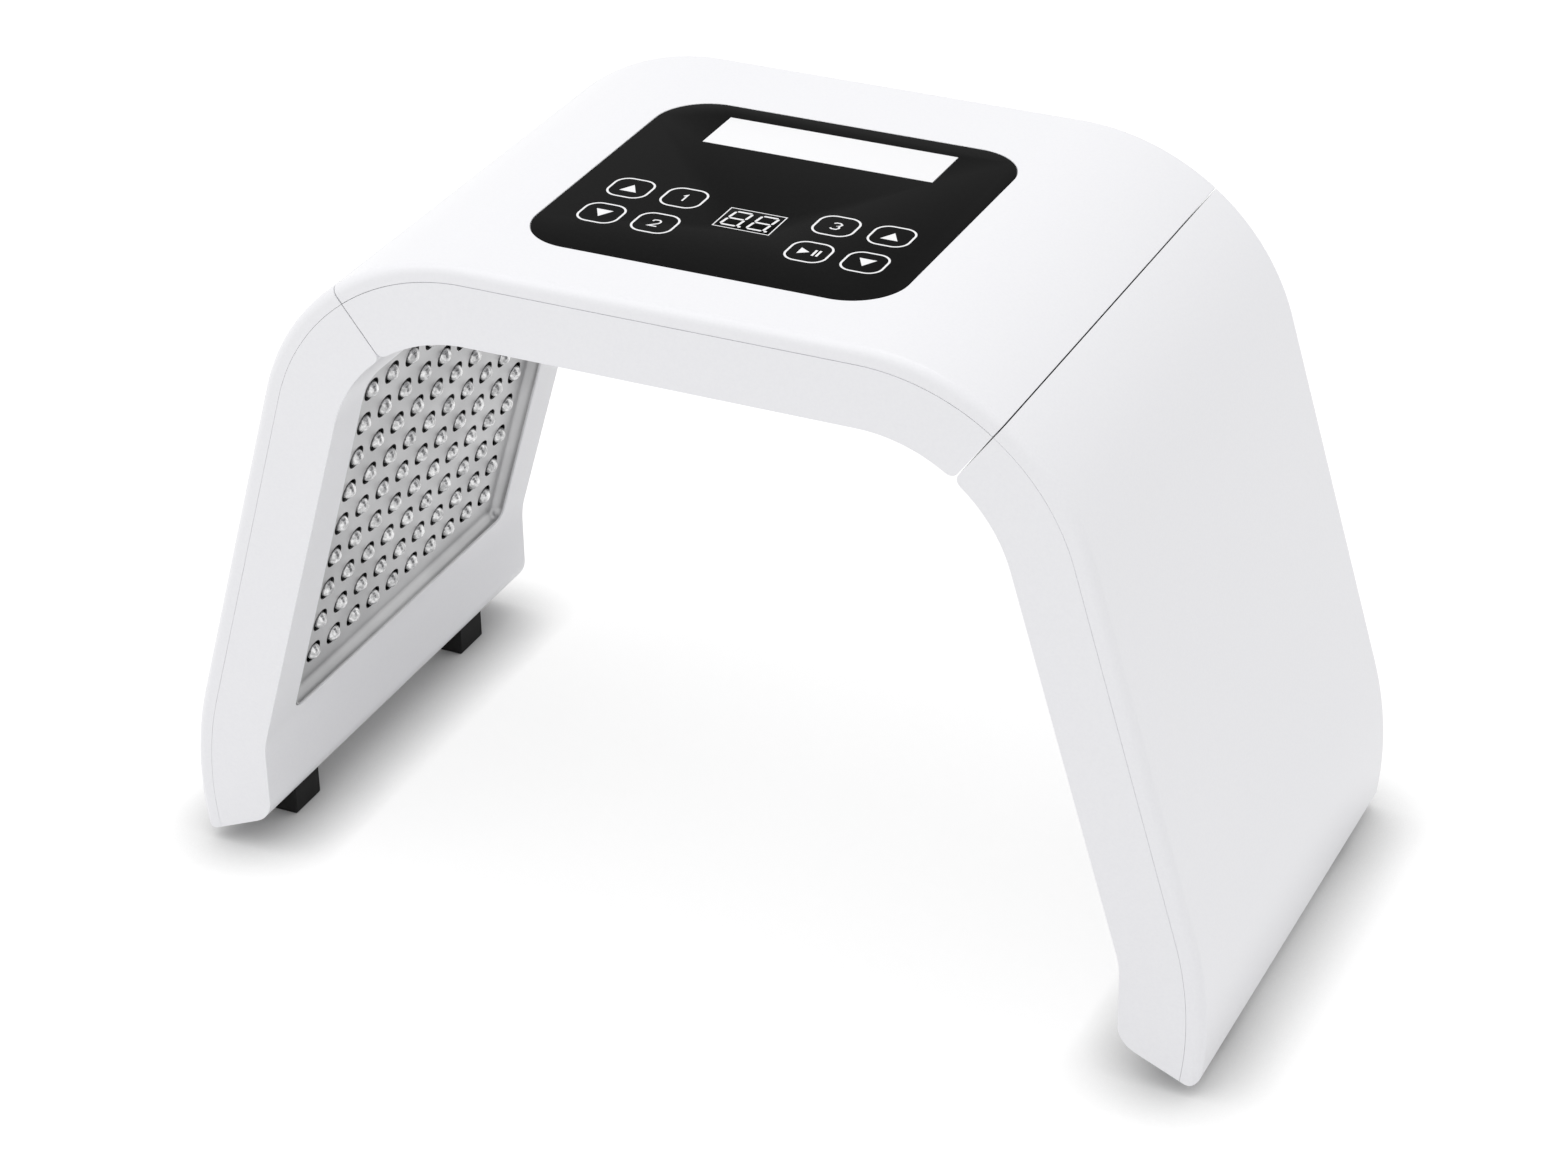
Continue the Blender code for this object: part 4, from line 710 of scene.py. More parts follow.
def seam_tools(side, towards):
    """Cutters for the knuckle notch and the leaf pocket in a frame's seam wall."""
    place = hinge_place(side)
    half = HINGE_LENGTH / 2 + NOTCH_GAP
    reach = KNUCKLE_RADIUS + NOTCH_GAP
    notch = [Vector((-reach, -HINGE_DEPTH - OVERRUN)), Vector((reach, -HINGE_DEPTH - OVERRUN))]
    notch += arc(Vector((0.0, 0.0)), reach, 90.0, -90.0, NOTCH_STEPS)
    ends = sorted((-towards * OVERRUN, towards * (HALF_SEAM + LEAF_POCKET)))
    return [curve_mesh("notch", [notch], 2 * half, place @ FRONT_VIEW),
            box_mesh("pocket", (ends[0], -half, 0.0), (ends[1], half, LEAF_WIDTH + NOTCH_GAP), place)]


def make_cover(section):
    """Glossy outer shell."""
    name = section.name + "_cover"
    side = section.side
    rim = COVER_RIM - HALF_PARTING
    if side == 0:
        edge = centre_run(0.0, HALF_SEAM)
        outline = edge + centre_run(rim, HALF_SEAM)[::-1]
        hollow = centre_run(WALL, SEAM_FACE) + centre_run(rim + OVERRUN, SEAM_FACE)[::-1]
        mesh = bevel_run(curve_mesh(name, [outline], DEPTH), edge, OUTER_EDGE_RADIUS)
    else:
        inner = wing_run(rim, HALF_SEAM, 0.0)[::-1]
        loops = []
        for inset, height in edge_profile(OUTER_EDGE_RADIUS):
            outline = tipped_run(0.0, HALF_SEAM, 0.0, TIP_RADIUS, inset) + inner
            loops.append([(point.x * side, point.y, height) for point in outline])
        hollow = tipped_run(WALL, SEAM_FACE, WALL, TIP_RADIUS - WALL, 0.0)
        hollow = mirrored(hollow + wing_run(rim + OVERRUN, SEAM_FACE, WALL)[::-1], side)
        mesh = loft_mesh(name, loops)
    mesh.transform(FRONT_VIEW)
    tools = [curve_mesh("cavity", [hollow], DEPTH - 2 * WALL, FRONT_VIEW)]
    if side == 0:
        tools += panel_tools()
    soften(piece(name, carve(mesh, *tools), SHELL, section.body, "white_shell", name), SHELL_EDGE)


def make_frame(section):
    """Inner shell with its window, seam walls and end walls."""
    name = section.name + "_frame"
    side = section.side
    rim = COVER_RIM + HALF_PARTING
    void = (BODY_THICKNESS - WALL, SEAM_FACE)
    corner = SEAM_CORNER_RADIUS - WALL
    if side == 0:
        outer, edge = centre_frame_outline(rim, BODY_THICKNESS, HALF_SEAM, SEAM_CORNER_RADIUS)
        void_outer, void_edge = centre_frame_outline(rim - OVERRUN, *void, corner)
    else:
        outer, edge = wing_frame_outline(side, rim, BODY_THICKNESS, HALF_SEAM, 0.0,
                                         SEAM_CORNER_RADIUS, BASE_CORNER_RADIUS)
        void_outer, void_edge = wing_frame_outline(side, rim - OVERRUN, *void, WALL,
                                                   corner, BASE_CORNER_RADIUS - WALL)
    mesh = bevel_run(curve_mesh(name, [outer + edge], DEPTH), edge, INNER_EDGE_RADIUS)
    mesh.transform(FRONT_VIEW)
    tools = [curve_mesh("cavity", [void_outer + void_edge], DEPTH - 2 * WALL, FRONT_VIEW),
             window_tool(section)]
    if side == 0:
        tools += bay_tools() + seam_tools(1, -1) + seam_tools(-1, 1)
    else:
        tools += seam_tools(side, side)
    soften(piece(name, carve(mesh, *tools), SHELL, section.body, "white_shell", name), SHELL_EDGE)


def make_tray(section):
    """Satin tray: a floor with round holes and a curved, turned-up edge."""
    name = section.name + "_reflector"
    outer_bend = TRAY_BEND + TRAY_SHEET
    bends = quarter(TRAY_BEND_STEPS)

    def at(inset, depth):
        return window_ring(section, -TRAY_GAP - inset, depth)

    loops = [at(TRAY_SHEET, TRAY_LIP)]
    loops += [at(TRAY_SHEET + TRAY_BEND * out, TRAY_FACE - TRAY_BEND * up) for out, up in bends]
    loops += [at(outer_bend * out, TRAY_FACE + TRAY_SHEET - outer_bend * up) for out, up in bends[::-1]]
    loops.append(at(0.0, TRAY_LIP))
    rim = loft_mesh("rim", loops, closed=True)
    holes = [circle(LED_HOLE_RADIUS, FINE_SIDES, x, y) for x, y in led_places(section)]
    floor = curve_mesh("floor", [at(outer_bend, 0.0)] + holes, TRAY_SHEET,
                       moved(0.0, 0.0, TRAY_FACE + TRAY_SHEET / 2))
    mesh = join(name, [rim, floor])
    mesh.transform(panel_place(section))
    weigh_normals(piece(name, mesh, TRAY, section.body, "reflector_silver", name))


def make_leds(section):
    """LED board, clear epoxy domes with a flange and with painted glints and painted shade, and the metal cup
    inside each.
    """
    name = section.name
    place = panel_place(section)
    outline = rounded(rectangle(section.half + BOARD_OVERLAP, -BOARD_HALF_DEPTH, BOARD_HALF_DEPTH),
                      BOARD_CORNER)
    middle = moved(0.0, 0.0, BOARD_FACE + BOARD_THICKNESS / 2)
    board = curve_mesh("board", [outline], BOARD_THICKNESS, place @ middle, bevel=BOARD_BEVEL)
    piece(name + "_led_board", board, BOARD, section.body, "board", name + "_led_board")
    spots = led_places(section)
    waist = LED_TIP + LED_RADIUS
    dome = [(0.0, LED_TIP)]
    for i in range(1, DOME_STEPS + 1):
        angle = math.radians(90.0 * i / DOME_STEPS)
        dome.append((LED_RADIUS * math.sin(angle), waist - LED_RADIUS * math.cos(angle)))
    dome += FLANGE_PROFILE
    domes = turned_mesh(name + "_led_domes", dome, DOME_SIDES, place, spots)
    piece(name + "_led_domes", domes, LENS_PAINTED_GLINTS, section.body, "film_clear", smooth=SHARP_DEG)
    cups = turned_mesh(name + "_led_cups", CUP_PROFILE, CUP_SIDES, place, spots)
    piece(name + "_led_cups", cups, CUP, section.body, "steel", smooth=SHARP_DEG)


# Control panel, in plan: X across, Y to the back

# Areas as half width, front and back
PANEL_AREA = (0.080, -0.0816, 0.0684)
LABEL_AREA = (0.0514, 0.0306, 0.0574)
DISPLAY_AREA = (0.0125, -0.0404, -0.0222)
KEY_AREA = (0.068, -0.060, -0.010)
PANEL_CORNER = 0.023
PANEL_THICKNESS = 0.001
KEY_HALF = 0.009
KEY_CORNER = 0.0062
KEY_LINE = 0.0009
PRINT_THICKNESS = 0.00004
PANEL_TOP = HEIGHT - 0.00005
PANEL_BEVEL = 0.0003
PANEL_STEP_DEG = 3.0
KEY_STEP_DEG = 6.0
INLAY_GAP = 0.0001
LABEL_BEVEL = 0.00012
DISPLAY_BEVEL = 0.0001
DISPLAY_THICKNESS = 0.006
DISPLAY_TOP = PANEL_TOP - 0.0002
DISPLAY_LINE = 0.0005
DIGIT_MIDDLES = (-0.0058, 0.0056)
DIGIT_HALVES = (0.0036, 0.0063)
DIGIT_LEAN = 0.12
SEGMENT_LINE = 0.0011
SEGMENT_GAP = 0.0003
POINT_RADIUS = 0.0007
POINT_GAP = 0.0012
POINT_SIDES = 16
NUMERAL_HALVES = (0.0018, 0.0028)
NUMERAL_LINE = 0.00075
# Corners of the filled marks: arrows, and a triangle beside two bars
MARKS = {
    "up": (((-0.0037, -0.0032), (0.0037, -0.0032), (0.0, 0.0032)),),
    "down": (((-0.0037, 0.0032), (0.0037, 0.0032), (0.0, -0.0032)),),
    "play": (((-0.0042, -0.0027), (0.0002, 0.0), (-0.0042, 0.0027)),
             ((0.0018, -0.0026), (0.0028, -0.0026), (0.0028, 0.0026), (0.0018, 0.0026)),
             ((0.0036, -0.0026), (0.0046, -0.0026), (0.0046, 0.0026), (0.0036, 0.0026))),
}
# Strokes of the numerals, in halves of their width and height
NUMERALS = {
    1: (((-0.5, 0.55), (0.15, 1.0), (0.15, -1.0)),),
    2: (((-1.0, 0.5), (-0.75, 0.9), (-0.25, 1.0), (0.4, 1.0), (0.85, 0.75), (1.0, 0.4),
         (0.8, 0.0), (-1.0, -1.0), (1.0, -1.0)),),
    3: (((-1.0, 0.75), (-0.5, 1.0), (0.4, 1.0), (1.0, 0.6), (0.75, 0.15), (0.0, 0.0)),
        ((0.0, 0.0), (0.75, -0.12), (1.0, -0.55), (0.5, -1.0), (-0.5, -1.0), (-1.0, -0.75))),
}
# Ends of a digit's segments, in halves of its width and height
SEGMENTS = (((-1, 1), (1, 1)), ((-1, 0), (1, 0)), ((-1, -1), (1, -1)), ((-1, 1), (-1, 0)),
            ((1, 1), (1, 0)), ((-1, 0), (-1, -1)), ((1, 0), (1, -1)))


def grown(area, by):
    """An area made larger all round."""
    return area[0] + by, area[1] - by, area[2] + by


def panel_tools():
    """Cutters for the panel's recess and the opening under the keys."""
    recess = rounded(rectangle(*grown(PANEL_AREA, FIT_GAP)), PANEL_CORNER + FIT_GAP, PANEL_STEP_DEG)
    ledge = HEIGHT - PANEL_THICKNESS - FIT_GAP
    return [curve_mesh("recess", [recess], OVERRUN, moved(0.0, 0.0, ledge + OVERRUN / 2)),
            curve_mesh("opening", [rectangle(*KEY_AREA)], 2 * OVERRUN, moved(0.0, 0.0, HEIGHT - OVERRUN))]


def flat(top, thickness):
    """Place of a flat form whose upper face is at a height."""
    return moved(0.0, 0.0, top - thickness / 2)


def printed(outlines, top):
    """Thin print whose upper face is at a height."""
    return curve_mesh("print", outlines, PRINT_THICKNESS, flat(top, PRINT_THICKNESS))


def stroke(points, width):
    """Outline of a line of even width through points, with mitred corners."""
    ways = [(after - before).normalized() for before, after in zip(points, points[1:])]
    left = []
    right = []
    for i, here in enumerate(points):
        one = ways[max(i - 1, 0)]
        two = ways[min(i, len(ways) - 1)]
        normal = Vector((-one.y, one.x))
        middle = (normal + Vector((-two.y, two.x))).normalized()
        reach = width / 2 / max(middle.dot(normal), MITRE_LEAST)
        left.append(here + middle * reach)
        right.append(here - middle * reach)
    return left + right[::-1]


# Name, place and mark of each key
KEYS = (
    ("up_left", -0.0571, -0.0223, "up"), ("mode_one", -0.0333, -0.0223, 1),
    ("mode_three", 0.0333, -0.0223, 3), ("up_right", 0.0571, -0.0223, "up"),
    ("down_left", -0.0571, -0.0479, "down"), ("mode_two", -0.0333, -0.0479, 2),
    ("play", 0.0333, -0.0479, "play"), ("down_right", 0.0571, -0.0479, "down"),
)


def key_marks(mark, x, y):
    """Outlines of a key's mark: filled forms, or the strokes of a numeral."""
    if mark in MARKS:
        return [polygon(corners, x, y) for corners in MARKS[mark]]
    w, h = NUMERAL_HALVES
    return [stroke(polygon([(a * w, b * h) for a, b in line], x, y), NUMERAL_LINE) for line in NUMERALS[mark]]


def make_panel():
    """Flush black panel, blank label, printed key outlines and marks, and the two-digit display."""
    body = "centre_section"
    outer = rounded(rectangle(*PANEL_AREA), PANEL_CORNER, PANEL_STEP_DEG)
    openings = [rectangle(*DISPLAY_AREA), rectangle(*LABEL_AREA)]
    place = flat(PANEL_TOP, PANEL_THICKNESS)
    mesh = curve_mesh("control_panel", [outer] + openings, PANEL_THICKNESS, place, bevel=PANEL_BEVEL)
    piece("control_panel", mesh, PANEL, body, "panel_black", "control_panel")
    label = rectangle(*grown(LABEL_AREA, -INLAY_GAP))
    mesh = curve_mesh("blank_label", [label], PANEL_THICKNESS, place, bevel=LABEL_BEVEL)
    piece("blank_label", mesh, LABEL, body, "label_white", "blank_label")
    top = PANEL_TOP + PRINT_THICKNESS
    for name, x, y, mark in KEYS:
        ring = []
        for half, corner in ((KEY_HALF, KEY_CORNER), (KEY_HALF - KEY_LINE, KEY_CORNER - KEY_LINE)):
            ring.append(rounded(polygon(rectangle(half, -half, half), x, y), corner, KEY_STEP_DEG))
        piece("key_outline_" + name, printed(ring, top), PRINT, body, "label_white")
        meshes = [printed([outline], top) for outline in key_marks(mark, x, y)]
        piece("key_mark_" + name, join("mark", meshes), PRINT, body, "label_white")
    make_display(body)


def make_display(body):
    """Dark display with a thin pale frame and two seven-segment digits with points."""
    area = grown(DISPLAY_AREA, -INLAY_GAP)
    glass = curve_mesh("glass", [rectangle(*area)], DISPLAY_THICKNESS, flat(DISPLAY_TOP, DISPLAY_THICKNESS),
                       bevel=DISPLAY_BEVEL)
    piece("display_module", glass, SCREEN, body, "display_dark", "display_module")
    top = DISPLAY_TOP + PRINT_THICKNESS
    ring = [rectangle(*area), rectangle(*grown(area, -DISPLAY_LINE))]
    piece("display_frame_line", printed(ring, top), SEGMENT, body, "label_white")
    meshes = []
    for x in DIGIT_MIDDLES:
        meshes += seven_segments(x, (area[1] + area[2]) / 2, top)
    piece("display_digits", join("digits", meshes), SEGMENT, body, "label_white")


def seven_segments(x, y, top):
    """All segments of one digit and its point, leaning a little to the right."""
    w, h = DIGIT_HALVES
    meshes = []
    for ends in SEGMENTS:
        start, end = (Vector((a * w, b * h)) for a, b in ends)
        along = (end - start).normalized()
        across = Vector((-along.y, along.x)) * (SEGMENT_LINE / 2)
        start += along * SEGMENT_GAP
        end -= along * SEGMENT_GAP
        tip = along * (SEGMENT_LINE / 2)
        bar = [start, start + tip + across, end - tip + across, end, end - tip - across,
               start + tip - across]
        meshes.append(printed([polygon([(p.x + DIGIT_LEAN * p.y, p.y) for p in bar], x, y)], top))
    point = circle(POINT_RADIUS, POINT_SIDES, x + w + POINT_GAP - DIGIT_LEAN * h, y - h)
    return meshes + [printed([point], top)]


# Rear bay and feet

INLET_X = -0.013
INLET_HOLE_RADIUS = 0.0053
SWITCH_X = 0.010
SWITCH_HOLE_HALVES = (0.0098, 0.0068)
HOLE_START = HALF_DEPTH - BAY_DEPTH - 0.01
HOLE_END = HALF_DEPTH - BAY_DEPTH + 0.002
BAY_BACK = HALF_DEPTH - BAY_DEPTH + FIT_GAP
BAY_MIDDLE = INNER_FLOOR + BAY_RISE


def bay_tools():
    """The bay's walls, its hollow, and the holes for the inlet and the switch."""
    half_width = BAY_WIDTH / 2 + BAY_WALL
    half_height = BAY_HEIGHT / 2 + BAY_WALL
    outline = rounded(upright((BAY_WIDTH / 2, BAY_HEIGHT / 2)), BAY_CORNER)
    depth = BAY_DEPTH + OVERRUN
    back = HALF_DEPTH - BAY_DEPTH
    across, up = SWITCH_HOLE_HALVES
    walls = box_mesh("bay", (-half_width, back - BAY_WALL, BAY_MIDDLE - half_height),
                     (half_width, HALF_DEPTH - WALL / 2, BAY_MIDDLE + half_height))
    return [(walls, "UNION"),
            curve_mesh("bay_hollow", [outline], depth, moved(0.0, back + depth / 2, BAY_MIDDLE) @ FRONT_VIEW),
            rod_mesh("inlet_hole", INLET_HOLE_RADIUS, (INLET_X, HOLE_START, BAY_MIDDLE),
                     (INLET_X, HOLE_END, BAY_MIDDLE)),
            box_mesh("switch_hole", (SWITCH_X - across, HOLE_START, BAY_MIDDLE - up),
                     (SWITCH_X + across, HOLE_END, BAY_MIDDLE + up))]


FOOT_NEAR = CREASE.x + 0.0075
FOOT_WIDTH = 0.012
FOOT_LENGTH = 0.020
FOOT_MIDDLE_Y = 0.074
FOOT_CORNER = 0.0009
FOOT_EDGE = 0.0006
FOOT_SCREW_SEAT = 0.0027
# Radius, start and end of the bore for a screw's head and the hole for its shank
FOOT_HOLES = ((0.0029, -0.002, 0.003), (0.0016, 0.001, 0.022))


def base_height(x):
    """Height of the sloping underside."""
    return BASE_CORNER.y - (x - BASE_CORNER.x) * math.tan(math.radians(BASE_SLOPE_DEG))


def make_feet():
    """Rubber feet with small roundings, cut off to the slope of the underside."""
    far = FOOT_NEAR + FOOT_WIDTH
    corners = polygon(((FOOT_NEAR, 0.0), (far, 0.0), (far, base_height(far) - FIT_GAP),
                       (FOOT_NEAR, base_height(FOOT_NEAR) - FIT_GAP)))
    for side, word in ((-1, "left"), (1, "right")):
        outline = mirrored(rounded(corners, FOOT_CORNER, SMALL_STEP_DEG), side)
        x = (FOOT_NEAR + FOOT_WIDTH / 2) * side
        for y, end in ((-FOOT_MIDDLE_Y, "front"), (FOOT_MIDDLE_Y, "rear")):
            name = f"{word}_{end}_foot"
            mesh = curve_mesh(name, [outline], FOOT_LENGTH, moved(0.0, y, 0.0) @ FRONT_VIEW)
            holes = [rod_mesh("hole", radius, (x, y, low), (x, y, high)) for radius, low, high in FOOT_HOLES]
            obj = piece(name, carve(mesh, *holes), RUBBER, word + "_wing", "rubber_black", name)
            soften(obj, FOOT_EDGE, 3, SHARP_DEG)
            screw = screw_mesh(name + "_screw", moved(x, y, FOOT_SCREW_SEAT))
            piece(name + "_screw", screw, STEEL, word + "_wing", "steel", name + "_screw")


# Inlet, switch, hinges and screws

REAR_VIEW = Matrix.Rotation(math.radians(-90.0), 4, "X")
ROCKER_TILT = Matrix.Rotation(math.radians(-8.0), 4, "Z")
PIN_RADIUS = 0.0011
PIN_BORE_RADIUS = 0.00124
LEAF_THICKNESS = 0.0011
TONGUE_THICKNESS = 0.0008
PIN_OVERHANG = 0.0002
# Radius and height of turned forms, from pole to pole
PIN_TIP = ((0.0, 0.0), (PIN_RADIUS * 0.6, 0.0001), (PIN_RADIUS, 0.0004))
INLET_PROFILE = (
    (0.0, -0.0063), (0.0029, -0.0063), (0.0029, 0.0), (0.0031, 0.0), (0.0031, 0.0005), (0.0036, 0.0010),
    (0.0043, 0.0012), (0.0045, 0.0010), (0.0048, 0.0010), (0.0050, 0.0012), (0.0061, 0.0012),
    (0.0064, 0.0010), (0.0065, 0.0007), (0.0065, 0.0), (0.0050, 0.0), (0.0050, -0.0090), (0.0, -0.0090))
INLET_PIN_PROFILE = ((0.0, -0.0003), (0.0004, -0.0004), (0.0008, -0.0007), (0.0010, -0.0012),
                     (0.0010, -0.0063), (0.0, -0.0063))
SCREW_PROFILE = (
    (0.0, -0.0016), (0.0012, -0.00155), (0.0020, -0.00135), (0.0025, -0.00095), (0.0026, -0.0005),
    (0.0026, 0.0), (0.0013, 0.0), (0.0013, 0.0140), (0.0004, 0.0150), (0.0, 0.0150))
SLOT_HALVES = (0.0013, 0.0003)
SLOT_SPAN = (-0.002, -0.0009)
HINGE_EDGE = 0.0002
INLET_SIDES = 48
BEZEL_HALVES = (0.0105, 0.0075)
BEZEL_CORNER = 0.0012
BEZEL_THICKNESS = 0.0015
BEZEL_BEVEL = 0.0004
HOUSING_HALVES = (0.0095, 0.0065)
HOUSING_DEPTH = 0.009
HOUSING_FLOOR = 0.005
CAVITY_HALVES = (0.0075, 0.0048)
CAVITY_CORNER = 0.0004
ROCKER_HALF_LENGTH = 0.0068
ROCKER_WIDTH = 0.0089
ROCKER_BASE = -0.001
ROCKER_END_HEIGHT = 0.003
ROCKER_DIP_HEIGHT = 0.002
ROCKER_DIP_RADIUS = 0.012
ROCKER_EDGE = 0.0004
PIVOT_DEPTH = 0.002
MARK_OUT = 0.0042
MARK_LIFT = 0.00002
ZERO_RADII = (0.0014, 0.00105)
ONE_HALVES = (0.00018, 0.0014)


def make_inlet():
    """Round low-voltage socket: chamfered flange with a turned groove, stepped bore and steel pin."""
    place = moved(INLET_X, BAY_BACK, BAY_MIDDLE) @ REAR_VIEW
    piece("power_inlet", turned_mesh("inlet", INLET_PROFILE, INLET_SIDES, place), FITTING, "centre_section",
          "fitting_black", "power_inlet")
    piece("power_inlet_pin", turned_mesh("inlet_pin", INLET_PIN_PROFILE, PIN_SIDES, place), STEEL,
          "centre_section", "steel")


def make_switch():
    """Rocker switch: rounded bezel and housing, a rocker with finger faces, and its 0 and 1 marks."""
    seat = moved(SWITCH_X, BAY_BACK, BAY_MIDDLE)
    cavity = rounded(upright(CAVITY_HALVES), CAVITY_CORNER)
    bezel = curve_mesh("bezel", [rounded(upright(BEZEL_HALVES), BEZEL_CORNER), cavity], BEZEL_THICKNESS,
                       seat @ REAR_VIEW @ flat(BEZEL_THICKNESS, BEZEL_THICKNESS), bevel=BEZEL_BEVEL)
    walls = curve_mesh("walls", [upright(HOUSING_HALVES), cavity], HOUSING_DEPTH,
                       seat @ REAR_VIEW @ flat(0.0, HOUSING_DEPTH))
    w, h = HOUSING_HALVES
    back = box_mesh("back", (-w, -HOUSING_DEPTH, -h), (w, -HOUSING_FLOOR, h), seat)
    piece("power_switch_housing", join("housing", [bezel, walls, back]), FITTING, "centre_section",
          "fitting_black", "power_switch_housing")
    pivot_y = BAY_BACK + BEZEL_THICKNESS - PIVOT_DEPTH
    turned = moved(SWITCH_X, pivot_y, BAY_MIDDLE) @ ROCKER_TILT
    right = Vector((ROCKER_HALF_LENGTH, ROCKER_END_HEIGHT))
    left = Vector((-ROCKER_HALF_LENGTH, ROCKER_END_HEIGHT))
    valley = fillet(right, Vector((0.0, ROCKER_DIP_HEIGHT)), left, ROCKER_DIP_RADIUS, CREASE_STEP_DEG)
    outline = [Vector((left.x, ROCKER_BASE)), Vector((right.x, ROCKER_BASE)), right] + valley + [left]
    obj = piece("power_switch_rocker", curve_mesh("rocker", [outline], ROCKER_WIDTH, turned), FITTING,
                "power_switch_rocker", "fitting_black", "power_switch_rocker")
    soften(obj, ROCKER_EDGE, 3, SHARP_DEG)
    rise = math.atan2(ROCKER_END_HEIGHT - ROCKER_DIP_HEIGHT, ROCKER_HALF_LENGTH)
    zero = [circle(radius, FINE_SIDES) for radius in ZERO_RADII]
    dip = turned @ moved(0.0, ROCKER_DIP_HEIGHT, 0.0)
    for word, end, outlines in (("zero", 1, zero), ("one", -1, [upright(ONE_HALVES)])):
        slope = Matrix.Rotation(rise * end, 4, "Z")
        place = dip @ slope @ moved(MARK_OUT * end, MARK_LIFT, 0.0) @ REAR_VIEW
        piece("switch_mark_" + word, curve_mesh("mark", outlines, PRINT_THICKNESS, place), PRINT,
              "power_switch_rocker", "label_white")


def make_hinge(side, word):
    """Leaves with round knuckles, and the pin with rounded ends."""
    place = hinge_place(side)
    pitch = HINGE_LENGTH / KNUCKLE_COUNT
    rings = [circle(radius, ROUND_SIDES) for radius in (KNUCKLE_RADIUS, PIN_BORE_RADIUS)]
    root = KNUCKLE_RADIUS + KNUCKLE_GAP
    half = HINGE_LENGTH / 2
    leaves = (("centre", -side, 0, "centre_section"), ("wing", side, 1, word + "_wing"))
    for owner, towards, first, body in leaves:
        near, far = sorted((towards * HALF_SEAM, towards * (HALF_SEAM + LEAF_THICKNESS)))
        middle = (near + far) / 2
        meshes = [box_mesh("leaf", (near, -half, root), (far, half, LEAF_WIDTH), place)]
        for number in range(first, KNUCKLE_COUNT, 2):
            start = number * pitch - half + KNUCKLE_GAP / 2
            end = start + pitch - KNUCKLE_GAP
            meshes.append(curve_mesh("knuckle", rings, end - start,
                                     place @ moved(0.0, (start + end) / 2, 0.0) @ FRONT_VIEW))
            low = (middle - TONGUE_THICKNESS / 2, start + KNUCKLE_GAP, PIN_BORE_RADIUS)
            high = (middle + TONGUE_THICKNESS / 2, end - KNUCKLE_GAP, root + KNUCKLE_GAP)
            meshes.append(box_mesh("tongue", low, high, place))
        name = f"{word}_hinge_{owner}_leaf"
        soften(piece(name, join(name, meshes), STEEL, body, "steel", name), HINGE_EDGE, 2, SHARP_DEG)
    end = half + PIN_OVERHANG
    pin = [(radius, end - depth) for radius, depth in PIN_TIP]
    pin += [(radius, depth - end) for radius, depth in PIN_TIP[::-1]]
    piece(word + "_hinge_pin", turned_mesh("pin", pin, PIN_SIDES, place @ REAR_VIEW), STEEL,
          "centre_section", "steel", word + "_hinge_pin")


def screw_mesh(name, place):
    """Pan-head screw with a cross recess, its head down and its shank up."""
    low, high = SLOT_SPAN
    slots = [box_mesh("slot", (-x, -y, low), (x, y, high)) for x, y in (SLOT_HALVES, SLOT_HALVES[::-1])]
    mesh = carve(turned_mesh(name, SCREW_PROFILE, ROUND_SIDES), *slots)
    mesh.transform(place)
    return mesh


# Assembly

for part in SECTIONS:
    make_cover(part)
    make_frame(part)
    make_tray(part)
    make_leds(part)
make_panel()
make_feet()
make_inlet()
make_switch()
make_hinge(-1, "left")
make_hinge(1, "right")

CARRIED_SHARP_DEG = 35.0
CARRIED = {"control_board": CIRCUIT, "power_board": CIRCUIT, "touch_film": FILM}
for node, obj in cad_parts.items():
    if "_board_screw_" in node or "_hinge_" in node:
        dress(obj.data, STEEL, CARRIED_SHARP_DEG)
    elif node in CARRIED:
        dress(obj.data, CARRIED[node], CARRIED_SHARP_DEG)


# Stage, lights and camera

FLOOR_GAP = 0.0001
CAMERA_PLACE = Vector((0.620, -1.295, 0.956))
CAMERA_RIGHT = Vector((0.90449, 0.42624, -0.01457))
CAMERA_UP = Vector((-0.20335, 0.46104, 0.86376))
CAMERA_AHEAD = Vector((-0.37489, 0.77830, -0.50369))
CAMERA_LENS = 90.47
SENSOR_WIDTH = 36.0
NEAR_CLIP = 0.05
FLOOR_HALF = 6.0
FLOOR_COLOUR = 0.9
FLOOR_ROUGHNESS = 0.9
SEEN_FLOOR = 0.35
FLOOR_GLOW = 0.75
# Reach, steepness and samples of the painted contact shadow: ambient occlusion that dims the floor's glow
# near the object.
PAINTED_SHADOW_REACH = 0.034
PAINTED_SHADOW_POWER = 1.6
PAINTED_SHADOW_SAMPLES = 16
WORLD_LEVEL = 0.83
LIGHT_TARGET = Vector((0.0, 0.0, 0.1))


def background_rays(tree):
    """1 for the rays that show the surroundings themselves, 0 for those that light the object."""
    paths = tree.nodes.new("ShaderNodeLightPath")
    result = paths.outputs["Is Camera Ray"]
    for kind in ("Is Glossy Ray", "Is Transmission Ray"):
        either = add_node(tree, "ShaderNodeMath", result, paths.outputs[kind])
        either.operation = "MAXIMUM"
        result = either.outputs[0]
    return result


